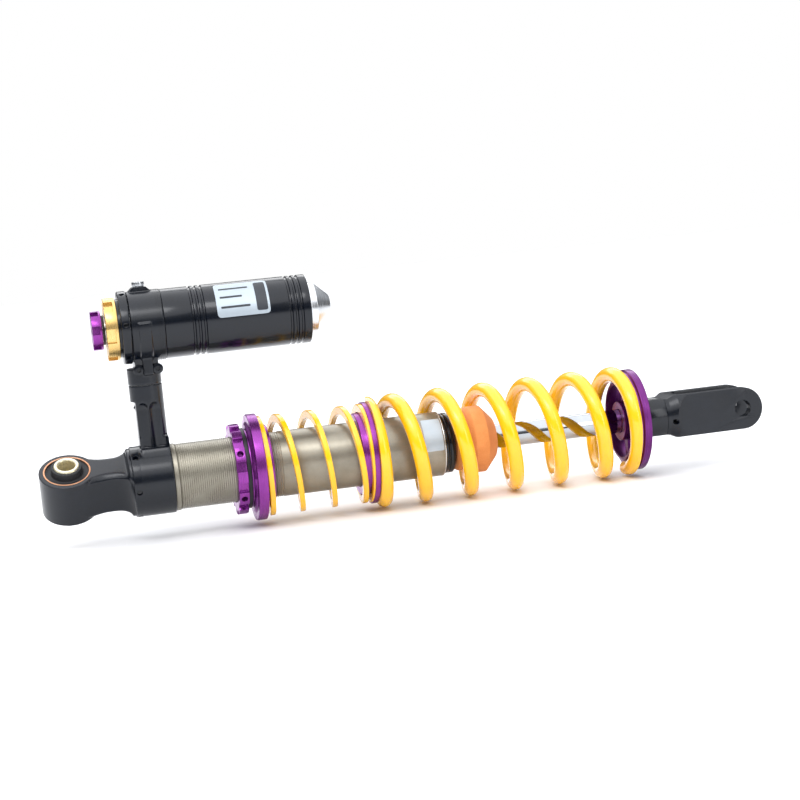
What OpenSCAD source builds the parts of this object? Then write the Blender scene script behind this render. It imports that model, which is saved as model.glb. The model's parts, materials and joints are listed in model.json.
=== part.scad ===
// Rebuildable coilover: a monotube damper with a piggyback reservoir on an arm,
// a flat-wire helper spring, a main spring and a clevis at the rod end.
// X runs along the damper from the eye to the clevis, Z points from the damper
// to the reservoir, Y lies along the clevis pin. The origin is the eye's centre.

/* [Eye mount] */
// Outer diameter of the eye barrel
eye_d = 40; // [36:0.5:48]
// Height of the eye barrel along its own axis
eye_h = 34; // [28:0.5:42]
// Angle between the eye's axis and the reservoir direction
eye_tilt = 30; // [0:1:45]
// Wall of the eye around the bush
eye_wall = 3.25; // [2:0.05:6]
// Wall of the bush's metal ring
bush_ring_wall = 1.2; // [0.8:0.1:2]
// Outer diameter of the inner sleeve
sleeve_d = 18; // [16:0.5:20]
// Bore of the inner sleeve, for an M12 bolt
sleeve_bore = 12.4; // [10:0.1:14]
// Length of the inner sleeve
sleeve_l = 45; // [36:0.5:52]
// Distance from the eye's centre to the eye's flange face
eye_reach = 45.2; // [42:0.2:56]
// How far the eye's flange stands inside the housing's surface
flange_step = 1; // [0:0.25:3]
// Thickness of the eye's flange
flange_w = 8.5; // [7:0.5:11]
// How far the eye's turned neck stands inside the barrel's surface
neck_step = 0.5; // [0:0.25:2]
// Half width of the neck between its two milled sides
neck_half_w = 15; // [13:0.5:18]
// Radius of the milled sides
scoop_r = 18; // [14:0.5:22]

/* [Arm housing] */
// How far the housing and the lock ring stand out beyond the tube
housing_step = 1.5; // [0.5:0.1:5]
// Width of the housing along the damper
housing_w = 20.4; // [18:0.2:25]
// Width of the eye's lock ring
lock_w = 6.8; // [5:0.2:8.5]
// Wall of the housing around the eye's threaded spigot
housing_wall = 5.5; // [3:0.25:8]
// How far the arm's sides stand inside the housing's faces
arm_inset = 0; // [0:0.1:2]
// Depth of the arm across the damper
arm_depth = 22; // [18:0.5:24]
// Diameter of the arm's round socket
socket_d = 24; // [22:0.5:26]
// Height of the socket's seam above the damper's axis
seam_z = 69.5; // [60:0.5:75]
// Distance from that seam to the underside of the reservoir's head
head_rise = 16; // [12:0.5:25]
// Height where the arm's flutes end
flute_top_z = 57; // [50:0.5:60]
// Radius of the arm's flutes
flute_r = 3.4; // [2.5:0.1:4]

/* [Body tube] */
// Outer diameter of the threaded tube
tube_d = 48; // [46:0.1:49]
// Wall of the damper tube
tube_wall = 3; // [2:0.1:6]
// Length of the tube beyond the housing
tube_l = 201; // [170:1:260]
// Plain ring between housing and thread
bare_l = 3.8; // [2:0.2:6]
// Length of the thread
thread_l = 75; // [60:1.5:90]
// Thread pitch
thread_pitch = 1.5; // [1:0.25:2]
// Depth of the thread grooves
thread_depth = 0.6; // [0.3:0.05:0.8]

/* [Spring perch] */
// Distance from the housing to the adjuster nut
nut_gap = 45.6; // [40:0.2:55]
// Wall of the adjuster nut
nut_wall = 9; // [7:0.25:12]
// Width of the adjuster nut
nut_w = 7.2; // [6:0.2:9]
// Depth of the nut's castellations
notch_depth = 3; // [2:0.1:3.5]
// Diameter of the nut's pin holes
pin_hole_d = 4.8; // [3:0.1:5.5]
// Width of the glide ring
glide_w = 3.4; // [2:0.1:5]
// How far the perch reaches out from the spring's inner diameter
perch_reach = 8.5; // [7:0.25:12]
// Width of the perch's rim
perch_w = 7.3; // [6:0.1:10]
// Radial clearance of the spring seats' locating collars in the springs
collar_fit = 0.3; // [0.2:0.05:1.5]
// Length of the locating collars
collar_l = 6.7; // [4:0.1:9]

/* [Springs] */
// Radial room between the tube and the inside of both springs
spring_room = 6.5; // [5.5:0.25:12]
// Wire diameter of the main spring
wire_d = 11.2; // [9:0.1:13]
// Number of turns of the main spring
main_turns = 6.5; // [5:0.1:8]
// Length of the helper spring
helper_l = 78.4; // [60:0.2:90]
// Radial width of the helper's flat wire
helper_w = 6.2; // [4:0.1:7]
// Thickness of the helper's flat wire
helper_t = 4; // [3:0.1:5]
// Number of turns of the helper spring
helper_turns = 5.25; // [4.5:0.05:6]
// How far the ring between the springs reaches out from their inner diameter
separator_reach = 7.25; // [6:0.25:10]
// Width of the separator's rim
separator_w = 3.8; // [3:0.1:6]

/* [Rod side] */
// Diameter of the piston rod
rod_d = 18; // [14:0.5:20]
// How far the seal head's shoulder stands inside the tube's surface
seal_step = 1.5; // [0.5:0.25:4]
// Length of the seal head outside the tube
seal_l = 8.2; // [6:0.2:12]
// Diameter of the bump stop
bump_d = 50; // [40:0.5:54]
// Length of the bump stop
bump_l = 33.6; // [25:0.2:45]
// Open rod between the bump stop and the upper plate's hub
travel_gap = 100; // [85:1:120]
// Diameter of the rod adaptor
adaptor_d = 38; // [34:0.5:42]
// Length of the rod adaptor
adaptor_l = 20; // [17:0.5:26]
// How far the upper spring plate reaches out from the spring's inner diameter
plate_reach = 8; // [7:0.25:12]
// Thickness of the upper plate's rim
plate_w = 8.7; // [7:0.1:11]
// Number of spokes in the upper plate
plate_spokes = 4; // [3:1:8]

/* [Clevis] */
// Bore of the clevis, for an M12 bolt
pin_d = 13; // [10:0.1:16]
// Distance from the adaptor to the pin's axis
clevis_reach = 61.5; // [55:0.5:75]
// Overall thickness of the two ears
clevis_w = 34; // [30:0.5:36]
// Width of the slot between the ears
slot_w = 19; // [12:0.5:22]
// Height of the ears
ear_h = 32; // [28:0.5:35]
// Solid length between the adaptor and the slot
slot_root = 12; // [10:0.5:30]

/* [Reservoir] */
// Outer diameter of the reservoir
res_d = 50; // [46:0.5:53]
// Wall of the reservoir
res_wall = 3.2; // [2:0.1:5]
// Length of the reservoir's head
head_l = 23.6; // [22:0.2:30]
// Length of the reservoir's tube
res_l = 105.4; // [80:0.2:140]
// Depth of the decorative grooves
groove_depth = 1; // [0.4:0.1:1.6]
// Length of the end cap outside the tube
cap_l = 16.6; // [10:0.2:22]
// How far the end cap stands inside the reservoir's bore
cap_step = 3.2; // [1:0.1:6]
// How far the lock ring stands out beyond the reservoir
ring_step = 1.2; // [0.5:0.1:3]
// Width of the reservoir's lock ring
ring_w = 6.7; // [5:0.1:9]
// Diameter of the high-speed knob
gold_d = 44.8; // [40:0.2:48]
// Width of the high-speed knob
gold_w = 8.4; // [6:0.1:11]
// Diameter of the low-speed knob
purple_d = 28; // [24:0.2:32]
// Width of the low-speed knob
purple_w = 7.1; // [5:0.1:9]

/* [Hidden] */
$fn = 96;
run_fit = 0.05; // radial clearance of turning and sliding fits
set_fit = 0.03; // clearance between pieces that stay together
eps = 0.01;

// Diameters that follow from the sizes above
housing_d = tube_d + 2 * housing_step;
spigot_d = housing_d - 2 * housing_wall;
flange_d = housing_d - 2 * flange_step;
bush_d = eye_d - 2 * eye_wall;
neck_d = eye_d - 2 * neck_step;
tube_bore = tube_d - 2 * tube_wall;
nut_d = tube_d + 2 * nut_wall;
spring_id = tube_d + 2 * spring_room;
collar_d = spring_id - 2 * collar_fit;
perch_d = spring_id + 2 * perch_reach;
separator_d = spring_id + 2 * separator_reach;
plate_d = spring_id + 2 * plate_reach;
seal_d = tube_d - 2 * seal_step;
res_bore = res_d - 2 * res_wall;
cap_d = res_bore - 2 * cap_step;
ring_d = res_d + 2 * ring_step;
head_r = res_d / 2 + 0.5;
res_z = seam_z + head_rise + head_r;
stud_r = rod_d / 2 - 3; // the rod's thinner end that carries the piston

// Places along the damper
flange_x = eye_reach - flange_w;
lock_x1 = eye_reach + lock_w;
housing_x1 = lock_x1 + housing_w;
arm_x = (lock_x1 + housing_x1) / 2;
spigot_l = housing_w * 0.4;
tube_tail = housing_w * 0.5;
thread_x0 = housing_x1 + bare_l;
thread_x1 = thread_x0 + thread_l;
tube_x1 = housing_x1 + tube_l;
nut_x0 = housing_x1 + nut_gap;
nut_x1 = nut_x0 + nut_w;
glide_x1 = nut_x1 + glide_w;
perch_step = 2.6;
perch_x1 = glide_x1 + perch_step + perch_w;
sep_x0 = perch_x1 + helper_l;
sep_x1 = sep_x0 + separator_w;
seal_x1 = tube_x1 + seal_l;
bump_x1 = seal_x1 + bump_l;
hub_x0 = bump_x1 + travel_gap;
hub_stand = 4.4; // how far the upper plate's hub stands below its spring seat
seat_x = hub_x0 + hub_stand;
plate_x1 = seat_x + plate_w;
adaptor_x0 = plate_x1 + set_fit;
adaptor_x1 = adaptor_x0 + adaptor_l;
pin_x = adaptor_x1 + clevis_reach;
adaptor_flat = ear_h / 2 - 2.5; // height of the adaptor's spanner flats
rod_root = 5; // how deep the rod's full diameter sits in the adaptor
rod_x1 = adaptor_x1 - 4;
piston_w = 14;
piston_x1 = tube_x1 - 26;
piston_x0 = piston_x1 - piston_w;

// Places along the reservoir
head_x0 = arm_x - 6.7;
head_x1 = head_x0 + head_l;
boss_x = head_x0 + head_l * 0.4; // middle of the bleed screw's boss
boss_half = 8; // half width of that boss
res_x1 = head_x1 + res_l;
cap_x1 = res_x1 + cap_l;
ring_x0 = head_x0 - ring_w;
gold_x1 = ring_x0 - 2;
gold_x0 = gold_x1 - gold_w;
purple_x1 = gold_x0 - 2.5;
purple_x0 = purple_x1 - purple_w;
stem_r = 5;
cartridge_r = 16;
float_w = 16;
float_x0 = head_x1 + 34;

coil_r = spring_id / 2 + wire_d / 2;
helper_r = spring_id / 2 + helper_w / 2 + 0.1;

// ---- shared shapes ----

// Turns a profile of [radius, x] points about the X axis.
module turned(profile) {
    rotate([0, 90, 0]) rotate_extrude() polygon(profile);
}

// A ring about the X axis.
module ring(x0, x1, outer_r, inner_r) {
    turned([[inner_r, x0], [outer_r, x0], [outer_r, x1], [inner_r, x1]]);
}

// A ring about the X axis with both outer edges chamfered.
module soft_ring(x0, x1, outer_r, inner_r, c) {
    turned([[inner_r, x0], [outer_r - c, x0], [outer_r, x0 + c],
            [outer_r, x1 - c], [outer_r - c, x1], [inner_r, x1]]);
}

// A rod along X.
module rod(x0, x1, r) {
    translate([x0, 0, 0]) rotate([0, 90, 0]) cylinder(r = r, h = x1 - x0);
}

// Radial holes: their axes lie in the plane at x, starting from the Z direction.
module pin_holes(x, r_in, r_out, d, first) {
    for (i = [0:5])
        rotate([first + 60 * i, 0, 0])
            translate([x, 0, r_in]) cylinder(d = d, h = r_out - r_in);
}

// Six finger scallops cut along X from a knob's front face towards its rear rim.
module scallops(x0, x1, r, cut_r, depth, first) {
    for (i = [0:5])
        rotate([first + 60 * i, 0, 0])
            translate([0, 0, r - depth + cut_r]) rod(x0 - 1, x0 + (x1 - x0) * 0.74, cut_r);
}

// Moves children to the reservoir's axis.
module at_reservoir() {
    translate([0, 0, res_z]) children();
}

// Turns children so that Z becomes the eye's axis.
module at_eye() {
    rotate([eye_tilt, 0, 0]) children();
}

// Rise of a coil spring's centre line after n turns. Each end has closed turns
// of pitch p0, then the pitch grows over ramp turns to its full value.
function full_pitch(l, turns, closed, ramp, p0) =
    p0 + (l - p0 * turns) / (turns - 2 * closed - ramp);
function lead_in(n, closed, ramp) =
    n < closed ? 0 : n < closed + ramp ? pow(n - closed, 2) / (2 * ramp) : n - closed - ramp / 2;
function rise(n, l, turns, closed, ramp, p0) =
    let (p = full_pitch(l, turns, closed, ramp, p0), half = turns / 2)
    n < half
        ? p0 * n + (p - p0) * lead_in(n, closed, ramp)
        : l - p0 * (turns - n) - (p - p0) * lead_in(turns - n, closed, ramp);

// A spring swept about X. Its section is a closed list of [radial, axial]
// points; the ends are ground flat at x0 and x1.
module coil(x0, x1, r, section, turns, closed, ramp, p0, start, inset, per_turn) {
    steps = ceil(turns * per_turn);
    m = len(section);
    l = x1 - x0 - 2 * inset;
    points = [
        for (i = [0:steps])
            let (n = turns * i / steps, a = start + 360 * n,
                 x = x0 + inset + rise(n, l, turns, closed, ramp, p0))
            for (s = section)
                [min(max(x + s[1], x0), x1), -(r + s[0]) * sin(a), (r + s[0]) * cos(a)]
    ];
    sides = [
        for (i = [0:steps - 1])
            for (j = [0:m - 1])
                [i * m + j, i * m + (j + 1) % m, (i + 1) * m + (j + 1) % m, (i + 1) * m + j]
    ];
    first = [for (j = [m - 1:-1:0]) j];
    last = [for (j = [0:m - 1]) steps * m + j];
    polyhedron(points, concat([first], sides, [last]), convexity = 12);
}

// ---- eye and bush ----

// The neck: turned about X with a cove up to the flange, flat above and below,
// and milled to a curve on both sides.
module eye_neck() {
    cove = (flange_d - neck_d) / 2;
    waist_x = flange_x - cove - scoop_r * 0.3;
    intersection() {
        turned(concat(
            [[0, 0], [neck_d / 2, 0]],
            [for (a = [0:15:90]) [neck_d / 2 + cove * (1 - cos(a)), flange_x - cove * (1 - sin(a))]],
            [[flange_d / 2, flange_x + 1], [0, flange_x + 1]]));
        at_eye() difference() {
            translate([0, -flange_d / 2, -eye_h / 2]) cube([flange_x + 1, flange_d, eye_h]);
            for (s = [-1, 1])
                translate([waist_x, s * (neck_half_w + scoop_r), 0])
                    cylinder(r = scoop_r, h = eye_h + 2, center = true);
        }
    }
}

module eye_mount() {
    color("#3a3f4a") difference() {
        union() {
            at_eye() cylinder(d = eye_d, h = eye_h, center = true);
            eye_neck();
            soft_ring(flange_x, eye_reach, flange_d / 2, 0.01, 1.2);
            rod(eye_reach - eps, lock_x1 + spigot_l, spigot_d / 2);
        }
        at_eye() cylinder(r = bush_d / 2 + set_fit, h = eye_h + 2, center = true);
        rod(eye_reach + lock_w, lock_x1 + spigot_l + 1, spigot_d / 2 - 6);
    }
}

module bush_ring() {
    color("#b87a4c") at_eye() difference() {
        cylinder(d = bush_d, h = eye_h + 0.6, center = true);
        cylinder(r = bush_d / 2 - bush_ring_wall, h = eye_h + 2, center = true);
    }
}

module bush_rubber() {
    color("#1b1d20") at_eye() difference() {
        union() {
            cylinder(r = bush_d / 2 - bush_ring_wall - set_fit, h = eye_h - 2, center = true);
            cylinder(r = sleeve_d / 2 + 2.6, h = sleeve_l - 4, center = true);
        }
        cylinder(r = sleeve_d / 2 + run_fit, h = sleeve_l + 2, center = true);
    }
}

module bush_sleeve() {
    color("#e8d9a0") at_eye() difference() {
        cylinder(d = sleeve_d, h = sleeve_l, center = true);
        cylinder(d = sleeve_bore, h = sleeve_l + 2, center = true);
    }
}

// ---- arm housing and damper body ----

module eye_lock_ring() {
    color("#23262c") difference() {
        soft_ring(eye_reach + set_fit, lock_x1 - 0.4, housing_d / 2, spigot_d / 2 + set_fit, 0.6);
        pin_holes(eye_reach + lock_w / 2, housing_d / 2 - 3.5, housing_d, 4, 41.4);
    }
}

module arm_housing() {
    arm_w = housing_w - 2 * arm_inset;
    arm_half = arm_w / 2;
    color("#2e323a") difference() {
        union() {
            soft_ring(lock_x1, housing_x1, housing_d / 2, 1, 0.6);
            translate([arm_x - arm_half, -arm_depth / 2, 0])
                cube([arm_w, arm_depth, flute_top_z]);
            translate([arm_x, 0, flute_top_z - 3]) cylinder(d = socket_d, h = seam_z - flute_top_z + 3);
        }
        rod(lock_x1 - 1, housing_x1 - tube_tail, spigot_d / 2 + set_fit);
        rod(housing_x1 - tube_tail - eps, housing_x1 + 1, tube_bore / 2 + 1 + set_fit);
        for (s = [-1, 1])
            for (t = [-1, 1])
                translate([arm_x + t * arm_w * 0.22, s * (arm_depth / 2 + flute_r * 0.3), housing_d / 2])
                    flute(flute_top_z - housing_d / 2 - 1);
        translate([arm_x, 0, seam_z - 8]) cylinder(d = socket_d - 6, h = 9);
        translate([arm_x, 0, spigot_d / 2 - 3]) cylinder(d = 6, h = seam_z);
    }
}

// A round-ended groove that runs up from the origin.
module flute(h) {
    cylinder(r = flute_r, h = h);
    translate([0, 0, h]) sphere(r = flute_r);
}

module arm_o_ring() {
    color("#141414") translate([arm_x, 0, seam_z - 4]) difference() {
        cylinder(r = socket_d / 2 - 3 - set_fit, h = 2.2);
        translate([0, 0, -1]) cylinder(r = socket_d / 2 - 5.4 + set_fit, h = 5);
    }
}

module body_tube() {
    r = tube_d / 2;
    grooves = floor(thread_l / thread_pitch);
    thread = [
        for (i = [0:grooves - 1])
            let (x = thread_x0 + i * thread_pitch)
            each [[r, x + 0.1 * thread_pitch], [r - thread_depth, x + 0.5 * thread_pitch],
                  [r, x + 0.9 * thread_pitch]]
    ];
    color("#8f8775") turned(concat(
        [[tube_bore / 2, housing_x1 - tube_tail + 0.4], [tube_bore / 2 + 1, housing_x1 - tube_tail + 0.4],
         [tube_bore / 2 + 1, housing_x1 + set_fit], [r + 0.4, housing_x1 + set_fit],
         [r + 0.4, thread_x0 - 0.3], [r - thread_depth, thread_x0 - 0.3]],
        thread,
        [[r, tube_x1 - 0.9], [r - 0.9, tube_x1], [tube_bore / 2, tube_x1]]));
}

module tube_o_ring() {
    x = lock_x1 + spigot_l + 0.2;
    color("#141414") ring(x, housing_x1 - tube_tail - 0.1, spigot_d / 2 - set_fit, spigot_d / 2 - 3);
}

module tube_label() {
    r = tube_d / 2;
    color("#d5dade") intersection() {
        ring(tube_x1 - 15.6, tube_x1 - 1.6, r + 0.18, r + 0.02);
        rotate([102, 0, 0]) translate([tube_x1 - 20, -15, 10]) cube([22, 30, 30]);
    }
}

// ---- spring seats ----

module adjuster_nut() {
    r = nut_d / 2;
    tooth = 16.25;
    color("#8f3a9b") difference() {
        soft_ring(nut_x0, nut_x1, r, tube_d / 2 + run_fit, 0.7);
        for (i = [0:5])
            for (s = [-1, 1])
                rotate([4.7 + 60 * i + s * tooth, 0, 0])
                    translate([nut_x0 - 1, -r * 0.118, r - notch_depth])
                        cube([nut_w + 2, r * 0.236, notch_depth + 2]);
        pin_holes((nut_x0 + nut_x1) / 2, r - 7, r + 1, pin_hole_d, 4.7);
    }
}

module glide_ring() {
    color("#17181a")
        ring(nut_x1 + 0.35, glide_x1 - set_fit, nut_d / 2 - 3.6, tube_d / 2 + 0.4);
}

module spring_perch() {
    r = perch_d / 2;
    hub = collar_d / 2 + 1;
    bore = tube_d / 2 + run_fit;
    rim_x = glide_x1 + perch_step;
    color("#8f3a9b") difference() {
        turned([[bore, glide_x1], [hub - 1.5, glide_x1], [hub - 1.5, glide_x1 + 0.9], [hub, glide_x1 + 0.9],
                [hub, rim_x], [r - 0.8, rim_x], [r, rim_x + 0.8], [r, perch_x1 - 0.8],
                [r - 0.8, perch_x1], [collar_d / 2, perch_x1], [collar_d / 2, perch_x1 + collar_l - 1],
                [collar_d / 2 - 1, perch_x1 + collar_l], [collar_d / 2 - 3, perch_x1 + collar_l],
                [collar_d / 2 - 3, perch_x1 - 3], [bore, perch_x1 - 3]]);
        for (s = [-1, 1])
            rotate([-5 + 90 * (1 - s), 0, 0])
                translate([rim_x - 1, -0.6, hub + 1]) cube([2.6, 1.2, r]);
    }
}

module helper_spring() {
    w = helper_w / 2;
    t = helper_t / 2;
    color("#f2b21c") coil(perch_x1 + set_fit, sep_x0 - set_fit, helper_r,
        [[-w, -t + 0.6], [-w + 0.6, -t], [w - 0.6, -t], [w, -t + 0.6],
         [w, t - 0.6], [w - 0.6, t], [-w + 0.6, t], [-w, t - 0.6]],
        helper_turns, 0.8, 0.6, helper_t, 128, -0.375 * helper_t, 24);
}

module spring_separator() {
    r = separator_d / 2;
    guide = tube_d / 2 + 0.4;
    color("#8f3a9b") turned([
        [guide, sep_x0 - collar_l], [collar_d / 2 - 0.8, sep_x0 - collar_l],
        [collar_d / 2, sep_x0 - collar_l + 0.8], [collar_d / 2, sep_x0],
        [r - 0.6, sep_x0], [r, sep_x0 + 0.6], [r, sep_x1 - 0.6], [r - 0.6, sep_x1],
        [collar_d / 2, sep_x1], [collar_d / 2, sep_x1 + collar_l - 0.8],
        [collar_d / 2 - 0.8, sep_x1 + collar_l], [collar_d / 2 - 2.6, sep_x1 + collar_l],
        [guide + 1.4, sep_x1], [guide, sep_x1]]);
}

module main_spring() {
    k = wire_d / 2;
    color("#f7c21e") coil(sep_x1 + set_fit, seat_x - set_fit, coil_r,
        [for (j = [0:11]) [k * cos(30 * j), k * sin(30 * j)]],
        main_turns, 0, 0.9, 2, 2, wire_d * 0.09, 24);
}

module upper_spring_plate() {
    r = plate_d / 2;
    lip_r = collar_d / 2;
    lip_in = lip_r - 2.6;
    hub_r = rod_d / 2 + 4.5;
    color("#6a2f6e") {
        turned([[lip_in, hub_x0], [lip_r - 0.8, hub_x0], [lip_r, hub_x0 + 0.8],
                [lip_r, seat_x], [r - 1.8, seat_x], [r - 1.8, seat_x + 2.6], [r - 0.6, seat_x + 3],
                [r, seat_x + 3.6], [r, plate_x1 - 0.6], [r - 0.6, plate_x1], [lip_in, plate_x1]]);
        ring(hub_x0, plate_x1, hub_r, rod_d / 2 + run_fit);
        for (i = [0:plate_spokes - 1])
            rotate([360 / plate_spokes * i, 0, 0])
                translate([seat_x, -3, hub_r - 0.6]) cube([plate_w - 1, 6, lip_in - hub_r + 1.2]);
    }
}

// ---- rod, piston and seals ----

module piston_rod() {
    color("#d8dce0") difference() {
        union() {
            rod(piston_x1 + 3, adaptor_x0 + rod_root, rod_d / 2);
            rod(piston_x0 - 13, piston_x1 + 3 + eps, stud_r);
            rod(adaptor_x0 + rod_root - eps, rod_x1, rod_d / 2 - 1.5);
        }
        rod(piston_x0 - 14, rod_x1 + 1, 2.5);
    }
}

module piston() {
    color("#a9adb2") difference() {
        soft_ring(piston_x0, piston_x1, tube_bore / 2 - 0.3, stud_r + set_fit, 0.8);
        ring(piston_x0 + 4.4, piston_x1 - 4.4, tube_bore, tube_bore / 2 - 2);
        for (i = [0:5])
            rotate([60 * i, 0, 0])
                translate([piston_x0 - 1, 0, tube_bore / 2 - 6.4]) rotate([0, 90, 0])
                    cylinder(d = 4.6, h = piston_w + 2);
    }
}

module piston_band() {
    color("#2f3a34")
        ring(piston_x0 + 4.4 + set_fit, piston_x1 - 4.4 - set_fit, tube_bore / 2 - run_fit,
             tube_bore / 2 - 2 + set_fit);
}

// A pyramid of thin discs from x0 in direction dir.
module shims(x0, dir, radii) {
    t = 0.45;
    for (i = [0:len(radii) - 1])
        ring(x0 + dir * (i * (t + set_fit) + set_fit) - (dir < 0 ? t : 0),
             x0 + dir * (i * (t + set_fit) + set_fit) + (dir < 0 ? 0 : t),
             radii[i], stud_r + set_fit);
}

// Radii of the five discs, stepping down from the piston's face to the stud.
function shim_radii() =
    let (first = tube_bore / 2 - 3, last = stud_r + 4)
    [for (i = [0:4]) first + (last - first) * i / 4];

module compression_shims() {
    color("#c9ced2") shims(piston_x1, 1, shim_radii());
}

module rebound_shims() {
    color("#c9ced2") shims(piston_x0, -1, shim_radii());
}

module piston_nut() {
    color("#b9bdc2") difference() {
        translate([piston_x0 - 12, 0, 0]) rotate([0, 90, 0]) cylinder(r = stud_r + 4.5, h = 9, $fn = 6);
        rod(piston_x0 - 13, piston_x0, stud_r + set_fit);
    }
}

module seal_head() {
    ri = rod_d / 2 + run_fit;
    color("#1d1f23") difference() {
        turned([[ri, tube_x1 - 18], [tube_bore / 2 - set_fit, tube_x1 - 18],
                [tube_bore / 2 - set_fit, tube_x1 + set_fit], [seal_d / 2, tube_x1 + set_fit],
                [seal_d / 2, seal_x1 - 1.4], [seal_d / 2 - 1.4, seal_x1], [ri, seal_x1]]);
        ring(tube_x1 - 15, tube_x1 - 9, rod_d / 2 + 4, ri - 1);
        ring(seal_x1 - 4.4, seal_x1 + 1, rod_d / 2 + 4.2, ri - 1);
        ring(tube_x1 - 12, tube_x1 - 9.4, tube_bore, tube_bore / 2 - 1.8);
    }
}

module rod_seal() {
    color("#2b2b2b")
        ring(tube_x1 - 15 + set_fit, tube_x1 - 9 - set_fit, rod_d / 2 + 4 - set_fit, rod_d / 2 + run_fit);
}

module rod_wiper() {
    color("#202020")
        ring(seal_x1 - 4.4 + set_fit, seal_x1 - 0.3, rod_d / 2 + 4.2 - set_fit, rod_d / 2 + run_fit);
}

module seal_head_o_ring() {
    color("#141414")
        ring(tube_x1 - 12 + set_fit, tube_x1 - 9.4 - set_fit, tube_bore / 2 - set_fit,
             tube_bore / 2 - 1.8 + set_fit);
}

module bump_stop() {
    r = bump_d / 2;
    x = seal_x1 + set_fit;
    color("#e0893f") turned([
        [rod_d / 2 + 0.6, x], [r * 0.72, x], [r * 0.86, x + bump_l * 0.08],
        [r * 0.86, x + bump_l * 0.2], [r * 0.74, x + bump_l * 0.28], [r * 0.86, x + bump_l * 0.36],
        [r, x + bump_l * 0.5], [r, x + bump_l * 0.7], [r * 0.62, bump_x1 - 0.6],
        [r * 0.56, bump_x1], [rod_d / 2 + 0.6, bump_x1]]);
}

// ---- rod end ----

module rod_adaptor() {
    color("#23262b") difference() {
        soft_ring(adaptor_x0, adaptor_x1 - set_fit, adaptor_d / 2, 1, 0.6);
        rod(adaptor_x0 - 1, adaptor_x0 + rod_root + set_fit, rod_d / 2 + set_fit);
        rod(adaptor_x0, adaptor_x1 + 1, rod_d / 2 - 1.5 + set_fit);
        for (s = [0, 1])
            rotate([180 * s, 0, 0])
                translate([adaptor_x0 + 2, -adaptor_d, adaptor_flat])
                    cube([adaptor_l, adaptor_d * 2, adaptor_d]);
    }
}

module clevis() {
    x0 = adaptor_x1;
    ear_x = x0 + 7; // where the ears reach their full height
    cheek_x = x0 + ear_h / 2 + 9;
    slot_x = x0 + slot_root + slot_w / 2;
    color("#2b2f36") difference() {
        intersection() {
            union() {
                rod(x0, x0 + 3, adaptor_d / 2);
                turned([[0, x0 + 2], [adaptor_d / 2, x0 + 2], [adaptor_d / 2 + 4, x0 + 8],
                        [adaptor_d / 2 + 4, pin_x], [0, pin_x]]);
                translate([pin_x, 0, 0]) rotate([90, 0, 0])
                    cylinder(d = ear_h, h = clevis_w, center = true);
            }
            union() {
                rotate([90, 0, 0]) linear_extrude(adaptor_d + 2, center = true)
                    polygon([[x0, -adaptor_flat], [x0 + 2, -adaptor_flat], [ear_x, -ear_h / 2],
                             [pin_x, -ear_h / 2], [pin_x, ear_h / 2], [ear_x, ear_h / 2],
                             [x0 + 2, adaptor_flat], [x0, adaptor_flat]]);
                translate([pin_x, 0, 0]) rotate([90, 0, 0])
                    cylinder(d = ear_h, h = clevis_w + 2, center = true);
            }
        }
        for (s = [-1, 1])
            translate([0, s * (clevis_w / 2 + 5), 0]) {
                translate([cheek_x, 0, 0]) rotate([90, 0, 0])
                    cylinder(d = ear_h + 3, h = 10, center = true);
                translate([cheek_x, -5, -ear_h]) cube([pin_x, 10, ear_h * 2]);
            }
        translate([slot_x, 0, 0]) cylinder(d = slot_w, h = ear_h + 4, center = true);
        translate([slot_x, -slot_w / 2, -ear_h / 2 - 2])
            cube([pin_x - slot_x + ear_h, slot_w, ear_h + 4]);
        translate([pin_x, 0, 0]) rotate([90, 0, 0])
            cylinder(d = pin_d, h = clevis_w + 4, center = true);
        rotate([100, 0, 0]) translate([x0 + 5.6, 0, adaptor_d / 2 - 8]) cylinder(d = 4.2, h = 14);
    }
}

module clevis_grub_screw() {
    color("#15171a") rotate([100, 0, 0]) translate([adaptor_x1 + 5.6, 0, adaptor_d / 2 - 7.9])
        difference() {
            cylinder(r = 2.1 - set_fit, h = 6.6);
            translate([0, 0, 4]) cylinder(r = 1.2, h = 4, $fn = 6);
        }
}

// ---- reservoir ----

module reservoir_head() {
    r = head_r;
    color("#2e323a") difference() {
        union() {
            at_reservoir() soft_ring(head_x0, head_x1, r, 1, 0.6);
            translate([arm_x, 0, seam_z + set_fit])
                cylinder(d = socket_d, h = res_z - r - 5 - seam_z);
            translate([head_x0 + 0.4, -socket_d / 2 + 1.4, res_z - r - 6])
                cube([arm_x + socket_d / 2 - 1.6 - head_x0, socket_d - 2.8, r]);
            translate([boss_x, 0, res_z + r - 3]) boss(5.6);
            translate([arm_x, 0, seam_z - 7.6]) cylinder(r = socket_d / 2 - 5.4, h = 10);
        }
        at_reservoir() rod(head_x0 - 1, head_x0 + head_l * 0.66, cartridge_r + set_fit);
        at_reservoir() rod(head_x0 + head_l * 0.66 - eps, head_x1 + 1, res_bore / 2 + 1 + set_fit);
        translate([arm_x, 0, seam_z - 9]) cylinder(d = 6, h = res_z - seam_z);
        for (s = [-1, 1])
            translate([arm_x + s * 6.2, -socket_d / 2 + 4, res_z - r - 5.2]) rotate([90, 0, 0])
                cylinder(r = 3.8, h = 20);
        translate([boss_x, 0, res_z + cartridge_r + 1]) cylinder(d = 5, h = 30);
    }
}

// The bleed screw's boss: its two ends slope in along X.
module boss(h) {
    w = boss_half;
    rotate([90, 0, 0]) linear_extrude(w * 1.7, center = true)
        polygon([[-w, 0], [w, 0], [w, h * 0.45], [w * 0.6, h], [-w * 0.6, h], [-w, h * 0.45]]);
}

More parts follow.
